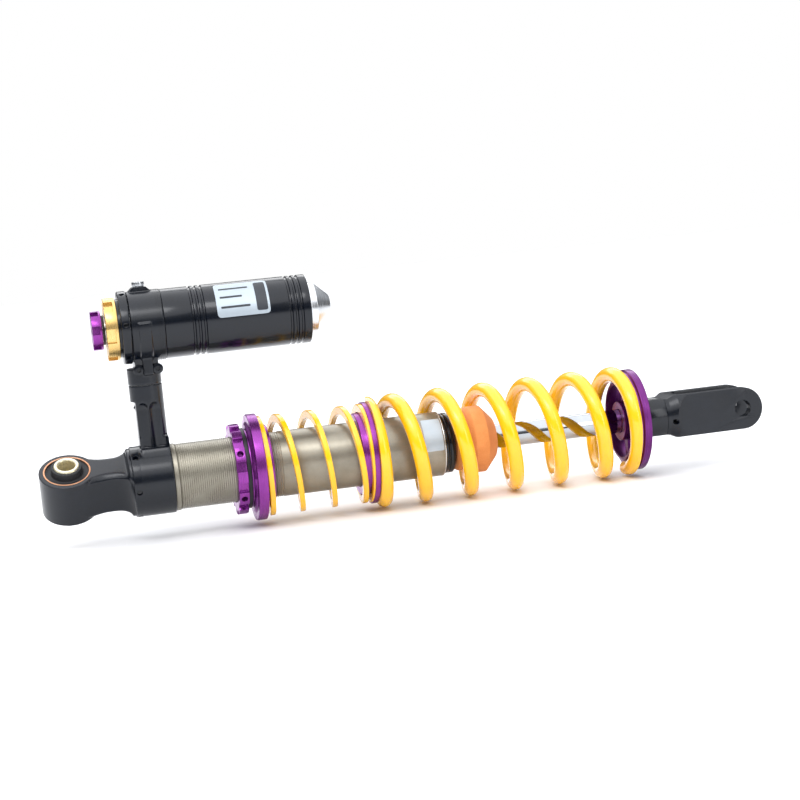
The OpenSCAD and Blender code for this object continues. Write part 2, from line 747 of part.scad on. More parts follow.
module passage_plugs() {
    r = head_r;
    color("#1b1d21")
        for (s = [-1, 1])
            translate([arm_x + s * 6.2, -socket_d / 2 + 4 - set_fit, res_z - r - 5.2])
                rotate([90, 0, 0]) difference() {
                    cylinder(r = 3.8 - set_fit, h = 4.4);
                    translate([0, 0, 2]) cylinder(r = 1.7, h = 4, $fn = 6);
                }
}

module bleed_screw() {
    z = res_z + head_r - 3 + 5.6;
    color("#d9dde0") translate([boss_x, 0, z]) difference() {
        union() {
            translate([0, 0, -8]) cylinder(r = 2.5 - set_fit, h = 8.1);
            translate([0, 0, set_fit]) cylinder(r = 4.4, h = 3.6);
        }
        translate([0, 0, 1.6]) cylinder(r = 2, h = 4, $fn = 6);
    }
}

module reservoir_tube() {
    r = res_d / 2;
    d = groove_depth;
    first = head_x1 + 20.7;
    second = res_x1 - 14.7;
    grooves = [
        for (x = [first, first + 4, first + 8, second, second + 4, second + 8])
            each [[r, x - 1.1], [r - d, x - 0.5], [r - d, x + 0.5], [r, x + 1.1]]
    ];
    color("#2b2f37") at_reservoir() turned(concat(
        [[res_bore / 2, head_x1 - head_l * 0.3], [res_bore / 2 + 1, head_x1 - head_l * 0.3],
         [res_bore / 2 + 1, head_x1 + set_fit], [r - 0.5, head_x1 + set_fit], [r, head_x1 + 0.6]],
        grooves,
        [[r, res_x1 - 0.8], [r - 0.8, res_x1], [res_bore / 2, res_x1]]));
}

module reservoir_label() {
    r = res_d / 2;
    mid = head_x1 + 54.8;
    color("#d5dade") at_reservoir() intersection() {
        ring(mid - 21, mid + 21, r + 0.18, r + 0.02);
        rotate([66, 0, 0]) translate([mid - 30, -13, 5]) cube([60, 26, 30]);
    }
}

module reservoir_end_cap() {
    rc = cap_d / 2;
    ri = res_bore / 2 - set_fit;
    color("#cfd3d6") at_reservoir() difference() {
        turned([[0, res_x1 - 12], [ri, res_x1 - 12], [ri, res_x1 - 1], [rc, res_x1 - 1],
                [rc, res_x1 + cap_l * 0.34], [rc * 0.5, cap_x1 - 0.6], [rc * 0.46, cap_x1],
                [0, cap_x1]]);
        rod(res_x1 - 13, cap_x1 + 1, 2.2);
        ring(res_x1 - 8, res_x1 - 5.4, res_bore, ri - 1.8);
        rod(cap_x1 - 7, cap_x1 + 1, 4);
    }
}

module end_cap_o_ring() {
    ri = res_bore / 2 - set_fit;
    color("#141414") at_reservoir()
        ring(res_x1 - 8 + set_fit, res_x1 - 5.4 - set_fit, ri, ri - 1.8 + set_fit);
}

module gas_valve() {
    color("#c8a24a") at_reservoir() difference() {
        union() {
            rod(res_x1 - 9, cap_x1 - 7 + 2 * set_fit, 2.2 - set_fit);
            rod(cap_x1 - 7 + set_fit, cap_x1 - 1, 4 - set_fit);
        }
        rod(cap_x1 - 4, cap_x1, 1.6);
    }
}

module reservoir_lock_ring() {
    color("#23262c") at_reservoir() difference() {
        soft_ring(ring_x0, head_x0 - 0.4, ring_d / 2, cartridge_r + set_fit, 1.2);
        pin_holes((ring_x0 + head_x0) / 2, ring_d / 2 - 3.5, ring_d, 3.6, 23.6);
    }
}

module valve_cartridge() {
    color("#8d9196") at_reservoir() difference() {
        union() {
            rod(ring_x0 + 0.6, head_x0 + head_l * 0.6, cartridge_r);
            rod(gold_x1 + 0.3, ring_x0 + 0.6 + eps, cartridge_r - 4);
            rod(purple_x1 + 0.6, gold_x1 + 0.3 + eps, stem_r + 4);
        }
        rod(purple_x1, head_x0 + head_l, stem_r + run_fit);
        for (i = [0:3])
            rotate([90 * i + 45, 0, 0])
                translate([head_x0 + head_l * 0.45, 0, stem_r - 1]) cylinder(d = 5, h = cartridge_r);
    }
}

module cartridge_flange() {
    color("#15171a") at_reservoir()
        ring(gold_x1 + 0.35, ring_x0 - set_fit, gold_d / 2 - 1.4, cartridge_r - 4 + set_fit);
}

module low_speed_needle() {
    color("#b9bdc2") at_reservoir() turned([
        [0, purple_x1 - purple_w / 2], [stem_r - 2, purple_x1 - purple_w / 2],
        [stem_r - 2, purple_x1 + 1], [stem_r, purple_x1 + 1],
        [stem_r, head_x0 + head_l * 0.3], [0, head_x0 + head_l * 0.5]]);
}

module high_speed_knob() {
    r = gold_d / 2;
    color("#e0c07c") at_reservoir() difference() {
        soft_ring(gold_x0, gold_x1, r, stem_r + 4 + run_fit, 1);
        scallops(gold_x0, gold_x1, r, 7.5, 2.2, 103);
    }
}

module low_speed_knob() {
    r = purple_d / 2;
    color("#8f3a9b") at_reservoir() difference() {
        soft_ring(purple_x0, purple_x1, r, 0.01, 0.9);
        scallops(purple_x0, purple_x1, r, 4, 1.7, 90);
        rod(purple_x1 - purple_w / 2 - set_fit, purple_x1 + 1, stem_r - 2 + set_fit);
    }
}

module knob_bezel() {
    color("#141518") at_reservoir()
        ring(purple_x1 + 0.5, gold_x0 - 0.5, stem_r + 5.6, stem_r + 4 + set_fit);
}

module floating_piston() {
    r = res_bore / 2 - 0.3;
    color("#a9adb2") at_reservoir() turned([
        [0, float_x0 + 6], [r - 4, float_x0 + 6], [r - 4, float_x0], [r, float_x0],
        [r, float_x0 + 4], [r - 2, float_x0 + 4], [r - 2, float_x0 + 7], [r, float_x0 + 7],
        [r, float_x0 + 10], [r - 1.8, float_x0 + 10], [r - 1.8, float_x0 + 13],
        [r, float_x0 + 13], [r, float_x0 + float_w], [0, float_x0 + float_w]]);
}

module floating_piston_o_ring() {
    r = res_bore / 2 - 0.3;
    color("#141414") at_reservoir()
        ring(float_x0 + 4 + set_fit, float_x0 + 7 - set_fit, res_bore / 2 - run_fit, r - 2 + set_fit);
}

module floating_piston_band() {
    r = res_bore / 2 - 0.3;
    color("#2f3a34") at_reservoir()
        ring(float_x0 + 10 + set_fit, float_x0 + 13 - set_fit, res_bore / 2 - run_fit, r - 1.8 + set_fit);
}

eye_mount();
bush_ring();
bush_rubber();
bush_sleeve();
eye_lock_ring();
arm_housing();
arm_o_ring();
body_tube();
tube_o_ring();
tube_label();
adjuster_nut();
glide_ring();
spring_perch();
helper_spring();
spring_separator();
main_spring();
upper_spring_plate();
piston_rod();
piston();
piston_band();
compression_shims();
rebound_shims();
piston_nut();
seal_head();
rod_seal();
rod_wiper();
seal_head_o_ring();
bump_stop();
rod_adaptor();
clevis();
clevis_grub_screw();
reservoir_head();
passage_plugs();
bleed_screw();
reservoir_tube();
reservoir_label();
reservoir_end_cap();
end_cap_o_ring();
gas_valve();
reservoir_lock_ring();
valve_cartridge();
cartridge_flange();
low_speed_needle();
high_speed_knob();
low_speed_knob();
knob_bezel();
floating_piston();
floating_piston_o_ring();
floating_piston_band();
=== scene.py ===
"""Looks of a coilover damper with a piggyback reservoir.

Everything is worked in millimetres in the row's own frame (+X from the eye to
the clevis, +Z towards the reservoir) and written out in metres at the end.
"""

from __future__ import annotations

import logging
import math
import sys
from dataclasses import dataclass, field, replace
from enum import Enum
from typing import Callable, Iterable, Sequence

import bmesh
import bpy
from mathutils import Matrix, Vector
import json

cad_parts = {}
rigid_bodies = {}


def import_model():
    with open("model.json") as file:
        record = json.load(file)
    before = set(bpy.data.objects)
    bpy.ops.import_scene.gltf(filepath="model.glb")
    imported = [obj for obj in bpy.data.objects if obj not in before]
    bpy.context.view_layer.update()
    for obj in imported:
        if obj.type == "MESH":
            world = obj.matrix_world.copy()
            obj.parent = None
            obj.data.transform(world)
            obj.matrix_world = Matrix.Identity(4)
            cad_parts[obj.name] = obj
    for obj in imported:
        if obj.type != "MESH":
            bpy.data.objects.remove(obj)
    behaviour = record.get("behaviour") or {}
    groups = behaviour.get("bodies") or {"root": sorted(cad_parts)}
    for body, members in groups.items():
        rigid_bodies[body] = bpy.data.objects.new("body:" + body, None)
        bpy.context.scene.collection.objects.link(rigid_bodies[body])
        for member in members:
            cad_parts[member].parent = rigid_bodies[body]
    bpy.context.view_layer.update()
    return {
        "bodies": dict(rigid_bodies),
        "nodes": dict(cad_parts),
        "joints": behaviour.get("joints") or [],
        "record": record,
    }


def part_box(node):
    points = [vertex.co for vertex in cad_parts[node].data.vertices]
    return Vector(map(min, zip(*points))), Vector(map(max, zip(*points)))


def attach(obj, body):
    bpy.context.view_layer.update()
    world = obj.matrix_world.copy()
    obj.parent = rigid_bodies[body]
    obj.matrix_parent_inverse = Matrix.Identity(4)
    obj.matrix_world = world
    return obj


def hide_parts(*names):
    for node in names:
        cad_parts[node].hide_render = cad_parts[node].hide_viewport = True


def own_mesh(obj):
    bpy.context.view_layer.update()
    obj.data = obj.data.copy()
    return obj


LOG = logging.getLogger("coilover")
MM = 0.001
TURN_STEPS = 160
RESERVOIR_Z = 111.0
STROKE = 99.0  # full travel of the damper
SEPARATOR_SHARE = 0.45  # the separator's part of that travel
COLLAR_LENGTH = 6.7
SEAT_STEP = 4.4  # from the upper plate's hub to its spring seat
SET_FIT = 0.05
ALONG = Vector((1.0, 0.0, 0.0))
UP = Vector((0.0, 0.0, 1.0))


# ---- materials ----


class Grain(Enum):
    """Which way a finish's fine marks run."""

    TURNED = "rings about the part's axis"
    DRAWN = "lines along the part's axis"
    EVEN = "the same in every direction"


def linear(code: str) -> tuple[float, float, float, float]:
    """Turns an sRGB colour into linear values.

    Args:
        code: Six hex digits after a hash sign.

    Returns:
        Red, green, blue and full opacity.
    """
    parts = [int(code[i : i + 2], 16) / 255 for i in (1, 3, 5)]
    red, green, blue = (p / 12.92 if p <= 0.04045 else ((p + 0.055) / 1.055) ** 2.4 for p in parts)
    return red, green, blue, 1.0


def add_node(
    tree: bpy.types.NodeTree,
    kind: str,
    settings: dict[str, object] | None = None,
    inputs: dict[str | int, object] | None = None,
) -> bpy.types.Node:
    """Adds one node, sets it up and links it.

    Args:
        tree: The node tree that takes the node.
        kind: The node's type name.
        settings: Properties of the node itself.
        inputs: A value or an output socket for each named input.

    Returns:
        The new node.
    """
    node = tree.nodes.new(kind)
    for key, value in (settings or {}).items():
        setattr(node, key, value)
    for key, value in (inputs or {}).items():
        if isinstance(value, bpy.types.NodeSocket):
            tree.links.new(value, node.inputs[key])
        else:
            node.inputs[key].default_value = value
    return node


@dataclass(frozen=True)
class Finish:
    """One real surface finish.

    The pattern sizes are in millimetres; centre_z is the height of the axis
    that turned marks run round.
    """

    name: str
    slot: str
    colour: str
    shade: str
    metallic: float
    roughness: float
    spread: float = 0.05
    grain: Grain = Grain.EVEN
    mark: float = 0.8
    patch: float = 14.0
    relief: float = 0.0
    coat: float = 0.0
    centre_z: float = 0.0
    sheen: float = 0.0

    def _fine_coordinates(self, tree: bpy.types.NodeTree, spot: bpy.types.NodeSocket) -> bpy.types.NodeSocket:
        """Returns coordinates that stretch the fine marks along the grain.

        Args:
            tree: The material's node tree.
            spot: The centred object coordinates.
        """
        if self.grain is Grain.TURNED:
            split = add_node(tree, "ShaderNodeSeparateXYZ", inputs={0: spot})
            flat = add_node(tree, "ShaderNodeCombineXYZ", inputs={1: split.outputs[1], 2: split.outputs[2]})
            reach = add_node(tree, "ShaderNodeVectorMath", {"operation": "LENGTH"}, {0: flat.outputs[0]})
            rings = add_node(
                tree, "ShaderNodeCombineXYZ", inputs={0: split.outputs[0], 1: reach.outputs["Value"]}
            )
            return rings.outputs[0]
        if self.grain is Grain.DRAWN:
            drawn = add_node(tree, "ShaderNodeMapping", inputs={0: spot, "Scale": (0.03, 1.0, 1.0)})
            return drawn.outputs[0]
        return spot

    def material(self) -> bpy.types.Material:
        """Builds the finish once and returns it from then on."""
        made = bpy.data.materials.get(self.name)
        if made:
            return made
        made = bpy.data.materials.new(self.name)
        made.use_nodes = True
        tree = made.node_tree
        tree.nodes.clear()
        place = add_node(tree, "ShaderNodeTexCoord")
        centred = add_node(
            tree,
            "ShaderNodeMapping",
            inputs={0: place.outputs["Object"], "Location": (0.0, 0.0, -self.centre_z * MM)},
        )
        spot = centred.outputs[0]
        fine = add_node(
            tree,
            "ShaderNodeTexNoise",
            inputs={
                "Vector": self._fine_coordinates(tree, spot),
                "Scale": 1 / (self.mark * MM),
                "Detail": 3.0,
                "Roughness": 0.6,
            },
        )
        broad = add_node(
            tree,
            "ShaderNodeTexNoise",
            inputs={"Vector": spot, "Scale": 1 / (self.patch * MM), "Detail": 4.0, "Roughness": 0.55},
        )
        both = add_node(
            tree,
            "ShaderNodeMath",
            {"operation": "MULTIPLY_ADD"},
            {0: fine.outputs[0], 1: 0.45, 2: broad.outputs[0]},
        )
        blend = add_node(
            tree,
            "ShaderNodeMapRange",
            inputs={"Value": both.outputs[0], "From Min": 0.5, "From Max": 0.95},
        )
        tint = add_node(
            tree,
            "ShaderNodeMix",
            {"data_type": "RGBA"},
            {"Factor": blend.outputs[0], 6: linear(self.colour), 7: linear(self.shade)},
        )
        rough = add_node(
            tree,
            "ShaderNodeMapRange",
            inputs={
                "Value": fine.outputs[0],
                "From Min": 0.3,
                "From Max": 0.7,
                "To Min": self.roughness - self.spread,
                "To Max": self.roughness + self.spread,
            },
        )
        shader = add_node(
            tree,
            "ShaderNodeBsdfPrincipled",
            inputs={
                "Base Color": tint.outputs[2],
                "Metallic": self.metallic,
                "Roughness": rough.outputs[0],
                "Coat Weight": self.coat,
                "Coat Roughness": 0.08,
                "Sheen Weight": self.sheen,
            },
        )
        if self.relief:
            bump = add_node(
                tree,
                "ShaderNodeBump",
                inputs={"Height": fine.outputs[0], "Distance": self.relief * MM, "Strength": 1.0},
            )
            tree.links.new(bump.outputs[0], shader.inputs["Normal"])
        add_node(tree, "ShaderNodeOutputMaterial", inputs={"Surface": shader.outputs[0]})
        return made


# Dyed black anodise on turned or milled aluminium: dark and glossy.
BLACK = Finish(
    "black anodised aluminium", "black_anodised", "#0b111b", "#070c14", 0.2, 0.2, 0.04,
    Grain.TURNED, 0.5, coat=0.05,
)
BLACK_HIGH = replace(
    BLACK, name="black anodised aluminium, reservoir", roughness=0.18, centre_z=RESERVOIR_Z
)
BLACK_MILLED = Finish(
    "black anodised milled aluminium", "black_anodised", "#0c121c", "#080d15", 0.2, 0.24, 0.04,
    Grain.EVEN, 0.6, relief=0.004, coat=0.05,
)
BLACK_STEEL = Finish("blackened steel", "black_steel", "#1b1c1f", "#141517", 0.7, 0.42)
# Violet dye in a clear anodised layer: strongly coloured metal reflections.
PURPLE = Finish(
    "purple anodised aluminium", "purple_anodised", "#93419c", "#7e3487", 0.8, 0.26, 0.05,
    Grain.TURNED, 0.45,
)
# Painted shade: a darker copy of the purple for the upper plate, which is seen through the spring's coils.
PURPLE_SHADED = replace(
    PURPLE, name="purple anodised aluminium, painted shade", colour="#74307c", shade="#5c2463", roughness=0.3
)
PURPLE_HIGH = replace(PURPLE, name="purple anodised aluminium, reservoir", centre_z=RESERVOIR_Z)
GOLD_HIGH = Finish(
    "gold anodised aluminium", "gold_anodised", "#e9c783", "#dab36a", 0.9, 0.28, 0.05, Grain.TURNED, 0.45,
    centre_z=RESERVOIR_Z,
)
# Hard anodise is thick and grey-brown, with a broad faint mottle.
HARD = Finish(
    "hard anodised aluminium", "hard_anodised", "#9b9689", "#878275", 0.6, 0.34, 0.04, Grain.EVEN, 0.5, 16.0,
    relief=0.004,
)
# Thick glossy powder coat with a faint orange-peel texture.
YELLOW = Finish(
    "yellow powder coat", "yellow_coated_steel", "#ffc40f", "#fcbc0a", 0.0, 0.22, 0.04, Grain.EVEN, 2.2, 30.0,
    relief=0.03, coat=0.5,
)
CHROME = Finish("ground hard chrome", "hard_chrome", "#b4b8bc", "#a6aaae", 1.0, 0.07, 0.02, Grain.TURNED, 0.3)
ALUMINIUM = Finish(
    "turned aluminium", "plain_aluminium", "#dadcde", "#c9cccf", 1.0, 0.24, 0.07, Grain.TURNED, 0.4,
    relief=0.004,
)
ALUMINIUM_HIGH = replace(
    ALUMINIUM, name="turned aluminium, reservoir", colour="#dfe1e3", shade="#cfd2d5", centre_z=RESERVOIR_Z
)
STEEL = Finish("machined steel", "plain_steel", "#c6c9cc", "#b4b7ba", 1.0, 0.28)
COPPER = Finish(
    "copper-coloured plating", "copper_plated_steel", "#d3a080", "#b98462", 1.0, 0.34, 0.06, patch=5.0
)
ZINC = Finish("yellow zinc plating", "zinc_steel", "#efe7cd", "#e2d8b4", 0.75, 0.3, 0.06, patch=6.0)
BRASS = Finish("machined brass", "brass", "#d8b05a", "#c59a45", 1.0, 0.25)
RUBBER = Finish(
    "moulded black rubber", "black_rubber", "#1d1e21", "#15161a", 0.0, 0.62, 0.06, Grain.EVEN, 0.5,
    relief=0.02,
)
# Closed-cell foam: matt, with fine open pores where the skin is cut.
FOAM = Finish(
    "orange foam", "orange_foam", "#dc9150", "#d08344", 0.0, 0.82, 0.08, Grain.EVEN, 0.9, 8.0,
    relief=0.12, sheen=0.15,
)
PLASTIC = Finish("black plastic", "black_plastic", "#1c1d20", "#161719", 0.0, 0.48, 0.05, relief=0.01)
BAND = Finish("filled fluoropolymer band", "ptfe_band", "#2c352f", "#232b26", 0.0, 0.5)
FOIL = Finish("satin silver foil", "silver_label", "#b4bec6", "#a8b3bc", 0.35, 0.38, 0.04, Grain.DRAWN, 0.3)
INK = Finish("dark print on foil", "silver_label", "#2b3038", "#23272e", 0.0, 0.45)

CAD_FINISH = {
    finish.slot: finish
    for finish in (
        INK, BLACK, BLACK_STEEL, PURPLE, GOLD_HIGH, HARD, YELLOW, CHROME, ALUMINIUM, STEEL, COPPER, ZINC,
        BRASS, RUBBER, FOAM, PLASTIC, BAND, FOIL,
    )
}


# ---- shaping ----


@dataclass(frozen=True)
class Span:
    """A CAD node's box in millimetres."""

    low: Vector
    high: Vector

    @classmethod
    def of(cls, node: str) -> Span:
        """Reads a node's box from the frame.

        Args:
            node: The CAD node's name.

        Returns:
            Its box at rest.
        """
        low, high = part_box(node)
        return cls(Vector(low) / MM, Vector(high) / MM)

    @property
    def x0(self) -> float:
        """Returns the end nearest the eye."""
        return self.low.x

    @property
    def x1(self) -> float:
        """Returns the end nearest the clevis."""
        return self.high.x

    @property
    def mid(self) -> Vector:
        """Returns the middle of the box."""
        return (self.low + self.high) / 2


def rounded(
    points: Sequence[tuple[float, ...]], radius: float = 0.4, closed: bool = True
) -> list[tuple[float, float]]:
    """Rounds the corners of an outline.

    Args:
        points: Points of two numbers, or three where the corner has its own radius.
        radius: The radius of the other corners.
        closed: Whether the last point joins the first.

    Returns:
        The outline with each corner as a short arc.
    """
    out: list[tuple[float, float]] = []
    count = len(points)
    for i, point in enumerate(points):
        here = Vector(point[:2])
        own = point[2] if len(point) > 2 else radius
        if own <= 0 or (not closed and i in (0, count - 1)):
            out.append((here.x, here.y))
            continue
        back = Vector(points[i - 1][:2]) - here
        ahead = Vector(points[(i + 1) % count][:2]) - here
        turn = math.pi - back.angle(ahead)
        if turn < math.radians(12):
            out.append((here.x, here.y))
            continue
        reach = min(own * math.tan(turn / 2), 0.46 * back.length, 0.46 * ahead.length)
        start, end = here + back.normalized() * reach, here + ahead.normalized() * reach
        pieces = 2 if own < 0.6 else max(3, round(math.degrees(turn) / 11))
        for k in range(pieces + 1):
            t = k / pieces
            arc = start * (1 - t) ** 2 + here * (2 * t * (1 - t)) + end * t**2
            out.append((arc.x, arc.y))
    return out


class Stock:
    """A piece of material being worked, in millimetres."""

    def __init__(self) -> None:
        """Starts with an empty mesh."""
        self.work = bmesh.new()

    @classmethod
    def turned(cls, profile: Sequence[tuple[float, float]], steps: int = TURN_STEPS) -> Stock:
        """Turns a profile of (radius, x) points about the X axis.

        Args:
            profile: The outline; it stays open where both its ends lie on the axis.
            steps: Flats round the full turn.

        Returns:
            A closed solid.
        """
        stock = cls()
        verts = [stock.work.verts.new((x, 0.0, r)) for r, x in profile]
        edges = [stock.work.edges.new(pair) for pair in zip(verts, verts[1:])]
        if profile[0][0] > 0 or profile[-1][0] > 0:
            edges.append(stock.work.edges.new((verts[-1], verts[0])))
        bmesh.ops.spin(
            stock.work, geom=verts + edges, cent=(0, 0, 0), axis=ALONG, angle=math.tau, steps=steps,
            use_merge=True,
        )
        return stock.clean()

    @classmethod
    def ring(cls, x0: float, x1: float, outer: float, inner: float, edge: float = 0.4) -> Stock:
        """Turns a plain ring with rounded edges.

        Args:
            x0: Start along X.
            x1: End along X.
            outer: Outer radius.
            inner: Inner radius, or nothing for a disc.
            edge: Radius of the edges.
        """
        if inner <= 0:
            return cls.turned(rounded([(0, x0), (outer, x0), (outer, x1), (0, x1)], edge, closed=False))
        return cls.turned(rounded([(inner, x0), (outer, x0), (outer, x1), (inner, x1)], edge))

    @classmethod
    def bar(cls, start: Vector, end: Vector, radius: float, flats: int = 96) -> Stock:
        """Makes a round or many-sided bar between two points.

        Args:
            start: One end.
            end: The other end.
            radius: Radius, to the corners where it has few flats.
            flats: Number of sides.
        """
        return cls.cone(start, end, radius, radius, flats)

    @classmethod
    def cone(cls, start: Vector, end: Vector, first: float, last: float, flats: int = 96) -> Stock:
        """Makes a tapered bar between two points.

        Args:
            start: One end.
            end: The other end.
            first: Radius at the start.
            last: Radius at the end.
            flats: Number of sides.
        """
        stock = cls()
        line = Vector(end) - Vector(start)
        middle = Matrix.Translation((Vector(start) + Vector(end)) / 2)
        bmesh.ops.create_cone(
            stock.work,
            cap_ends=True,
            segments=flats,
            radius1=first,
            radius2=last,
            depth=line.length,
            matrix=middle @ line.to_track_quat("Z", "Y").to_matrix().to_4x4(),
        )
        return stock

    @classmethod
    def ball(cls, centre: Vector, radius: float) -> Stock:
        """Makes a ball.

        Args:
            centre: Its middle.
            radius: Its radius.
        """
        stock = cls()
        bmesh.ops.create_uvsphere(
            stock.work, u_segments=48, v_segments=24, radius=radius, matrix=Matrix.Translation(centre)
        )
        return stock

    @classmethod
    def block(cls, low: Sequence[float], high: Sequence[float]) -> Stock:
        """Makes a box between two corners.

        Args:
            low: The lowest corner.
            high: The highest corner.
        """
        stock = cls()
        size = Vector(high) - Vector(low)
        place = Matrix.Translation((Vector(high) + Vector(low)) / 2) @ Matrix.Diagonal((*size, 1.0))
        bmesh.ops.create_cube(stock.work, size=1.0, matrix=place)
        return stock

    @classmethod
    def prism(cls, outline: Sequence[tuple[float, float]], half: float) -> Stock:
        """Makes a prism from an outline of (x, z) points, centred on Y.

        Args:
            outline: The corners in order.
            half: Half of its thickness along Y.
        """
        stock = cls()
        face = stock.work.faces.new([stock.work.verts.new((x, -half, z)) for x, z in outline])
        grown = bmesh.ops.extrude_face_region(stock.work, geom=[face])
        verts = [g for g in grown["geom"] if isinstance(g, bmesh.types.BMVert)]
        bmesh.ops.translate(stock.work, verts=verts, vec=(0, 2 * half, 0))
        return stock.clean()

    def clean(self) -> Stock:
        """Closes seams and poles and turns the normals outward."""
        bmesh.ops.remove_doubles(self.work, verts=self.work.verts, dist=1e-4)
        bmesh.ops.recalc_face_normals(self.work, faces=self.work.faces)
        return self

    def turn(self, degrees: float, centre_z: float = 0.0) -> Stock:
        """Turns the stock about a line along X.

        Args:
            degrees: From +Z towards -Y.
            centre_z: Height of the line.
        """
        spin = Matrix.Rotation(math.radians(degrees), 3, ALONG)
        bmesh.ops.rotate(self.work, verts=self.work.verts, cent=(0, 0, centre_z), matrix=spin)
        return self

    def spun(self, degrees: float) -> Stock:
        """Turns the stock about the Z axis.

        Args:
            degrees: From +X towards +Y.
        """
        spin = Matrix.Rotation(math.radians(degrees), 3, UP)
        bmesh.ops.rotate(self.work, verts=self.work.verts, cent=(0, 0, 0), matrix=spin)
        return self

    def aim(self, axis: Vector) -> Stock:
        """Swings the stock about the origin so that its X axis becomes another.

        Args:
            axis: The new direction.
        """
        swing = ALONG.rotation_difference(axis).to_matrix()
        bmesh.ops.rotate(self.work, verts=self.work.verts, cent=(0, 0, 0), matrix=swing)
        return self

    def move(self, x: float = 0.0, y: float = 0.0, z: float = 0.0) -> Stock:
        """Moves the stock by the distances given."""
        bmesh.ops.translate(self.work, verts=self.work.verts, vec=(x, y, z))
        return self

    def raised(self) -> Stock:
        """Moves the stock up to the reservoir's axis."""
        return self.move(z=RESERVOIR_Z)

    def join(self, *others: Stock) -> Stock:
        """Takes other stocks into the same mesh without merging them.

        Args:
            others: The stocks to take in, which are used up.
        """
        for other in others:
            mesh = bpy.data.meshes.new("joined")
            other.work.to_mesh(mesh)
            other.work.free()
            self.work.from_mesh(mesh)
            bpy.data.meshes.remove(mesh)
        return self

    def _through(self, prepare: Callable[[bpy.types.Object], None]) -> Stock:
        """Runs the mesh through modifiers and keeps the result.

        Args:
            prepare: Adds the modifiers to a stand-in object.
        """
        mesh = bpy.data.meshes.new("work")
        self.work.to_mesh(mesh)
        stand_in = bpy.data.objects.new("work", mesh)
        bpy.context.scene.collection.objects.link(stand_in)
        prepare(stand_in)
        graph = bpy.context.evaluated_depsgraph_get()
        done = bpy.data.meshes.new_from_object(stand_in.evaluated_get(graph))
        self.work.free()
        self.work = bmesh.new()
        self.work.from_mesh(done)
        bpy.data.objects.remove(stand_in)
        bpy.data.meshes.remove(mesh)
        bpy.data.meshes.remove(done)
        return self

    def _boolean(self, operation: str, tools: Iterable[Stock]) -> Stock:
        """Combines the stock with others one at a time.

        Args:
            operation: DIFFERENCE, UNION or INTERSECT.
            tools: The other stocks, which are used up.
        """
        for tool in tools:
            mesh = bpy.data.meshes.new("tool")
            tool.work.to_mesh(mesh)
            tool.work.free()
            other = bpy.data.objects.new("tool", mesh)
            bpy.context.scene.collection.objects.link(other)

            def prepare(stand_in: bpy.types.Object, other: bpy.types.Object = other) -> None:
                """Adds the boolean step."""
                step = stand_in.modifiers.new("step", "BOOLEAN")
                step.operation, step.object, step.solver = operation, other, "MANIFOLD"

            self._through(prepare)
            bpy.data.objects.remove(other)
            bpy.data.meshes.remove(mesh)
        return self

    def cut(self, *tools: Stock) -> Stock:
        """Cuts other stocks away."""
        return self._boolean("DIFFERENCE", tools)

    def fuse(self, *tools: Stock) -> Stock:
        """Welds other stocks on."""
        return self._boolean("UNION", tools)

    def keep(self, *tools: Stock) -> Stock:
        """Keeps only what lies inside other stocks."""
        return self._boolean("INTERSECT", tools)

    def soften(self, cell: float, rounds: int) -> Stock:
        """Blends overlapping shapes into one and rounds its edges.

        Args:
            cell: Size of the new mesh's cells.
            rounds: How many times the surface is relaxed.
        """

        def prepare(stand_in: bpy.types.Object) -> None:
            """Adds the remeshing step."""
            step = stand_in.modifiers.new("step", "REMESH")
            step.mode, step.voxel_size = "VOXEL", cell

        self._through(prepare)
        for _ in range(rounds):
            bmesh.ops.smooth_vert(
                self.work, verts=self.work.verts, factor=0.5,
                use_axis_x=True, use_axis_y=True, use_axis_z=True,
            )
        return self

    def ease(self, width: float, segments: int = 2) -> Stock:
        """Rounds the sharp edges.

        Args:
            width: How far the rounding reaches.
            segments: Steps across it.
        """

        def prepare(stand_in: bpy.types.Object) -> None:
            """Adds the bevel step."""
            step = stand_in.modifiers.new("step", "BEVEL")
            step.width, step.segments, step.limit_method = width, segments, "ANGLE"
            step.angle_limit, step.use_clamp_overlap = math.radians(28), True
            step.miter_outer = "MITER_ARC"

        return self._through(prepare)

    def place(
        self, name: str, finish: Finish, body: str, *nodes: str, sharp: float = 32.0
    ) -> bpy.types.Object:
        """Writes the stock out as a finished piece.

        Args:
            name: The piece's name.
            finish: Its surface finish.
            body: The CAD body it rides on.
            nodes: CAD nodes it stands for.
            sharp: Angle in degrees above which an edge stays sharp.

        Returns:
            The piece, in metres at the origin.
        """
        bmesh.ops.scale(self.work, verts=self.work.verts, vec=(MM, MM, MM))
        for face in self.work.faces:
            face.smooth = True
        mesh = bpy.data.meshes.new(name)
        self.work.to_mesh(mesh)
        self.work.free()
        mesh.set_sharp_from_angle(angle=math.radians(sharp))
        mesh.materials.clear()
        mesh.materials.append(finish.material())
        piece = bpy.data.objects.new(name, mesh)
        bpy.context.scene.collection.objects.link(piece)
        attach(piece, body)
        if nodes:
            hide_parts(*nodes)
        LOG.info("%-24s %6d faces, %s, rides on %s", name, len(mesh.polygons), finish.name, body)
        return piece


def spoke(x: float, inner: float, outer: float, degrees: float, radius: float, flats: int = 48) -> Stock:
    """Makes a bar that stands out from the X axis.

    Args:
        x: Its place along X.
        inner: Where it starts.
        outer: Where it ends.
        degrees: Its direction, from +Z towards -Y.
        radius: The bar's radius.
        flats: The bar's number of sides.
    """
    return Stock.bar(Vector((x, 0, inner)), Vector((x, 0, outer)), radius, flats).turn(degrees)


def spokes(x: float, inner: float, outer: float, first: float, radius: float) -> Stock:
    """Makes six bars that stand out from the X axis, for a ring's pin holes."""
    stock = Stock()
    for k in range(6):
        stock.join(spoke(x, inner, outer, first + 60 * k, radius))
    return stock


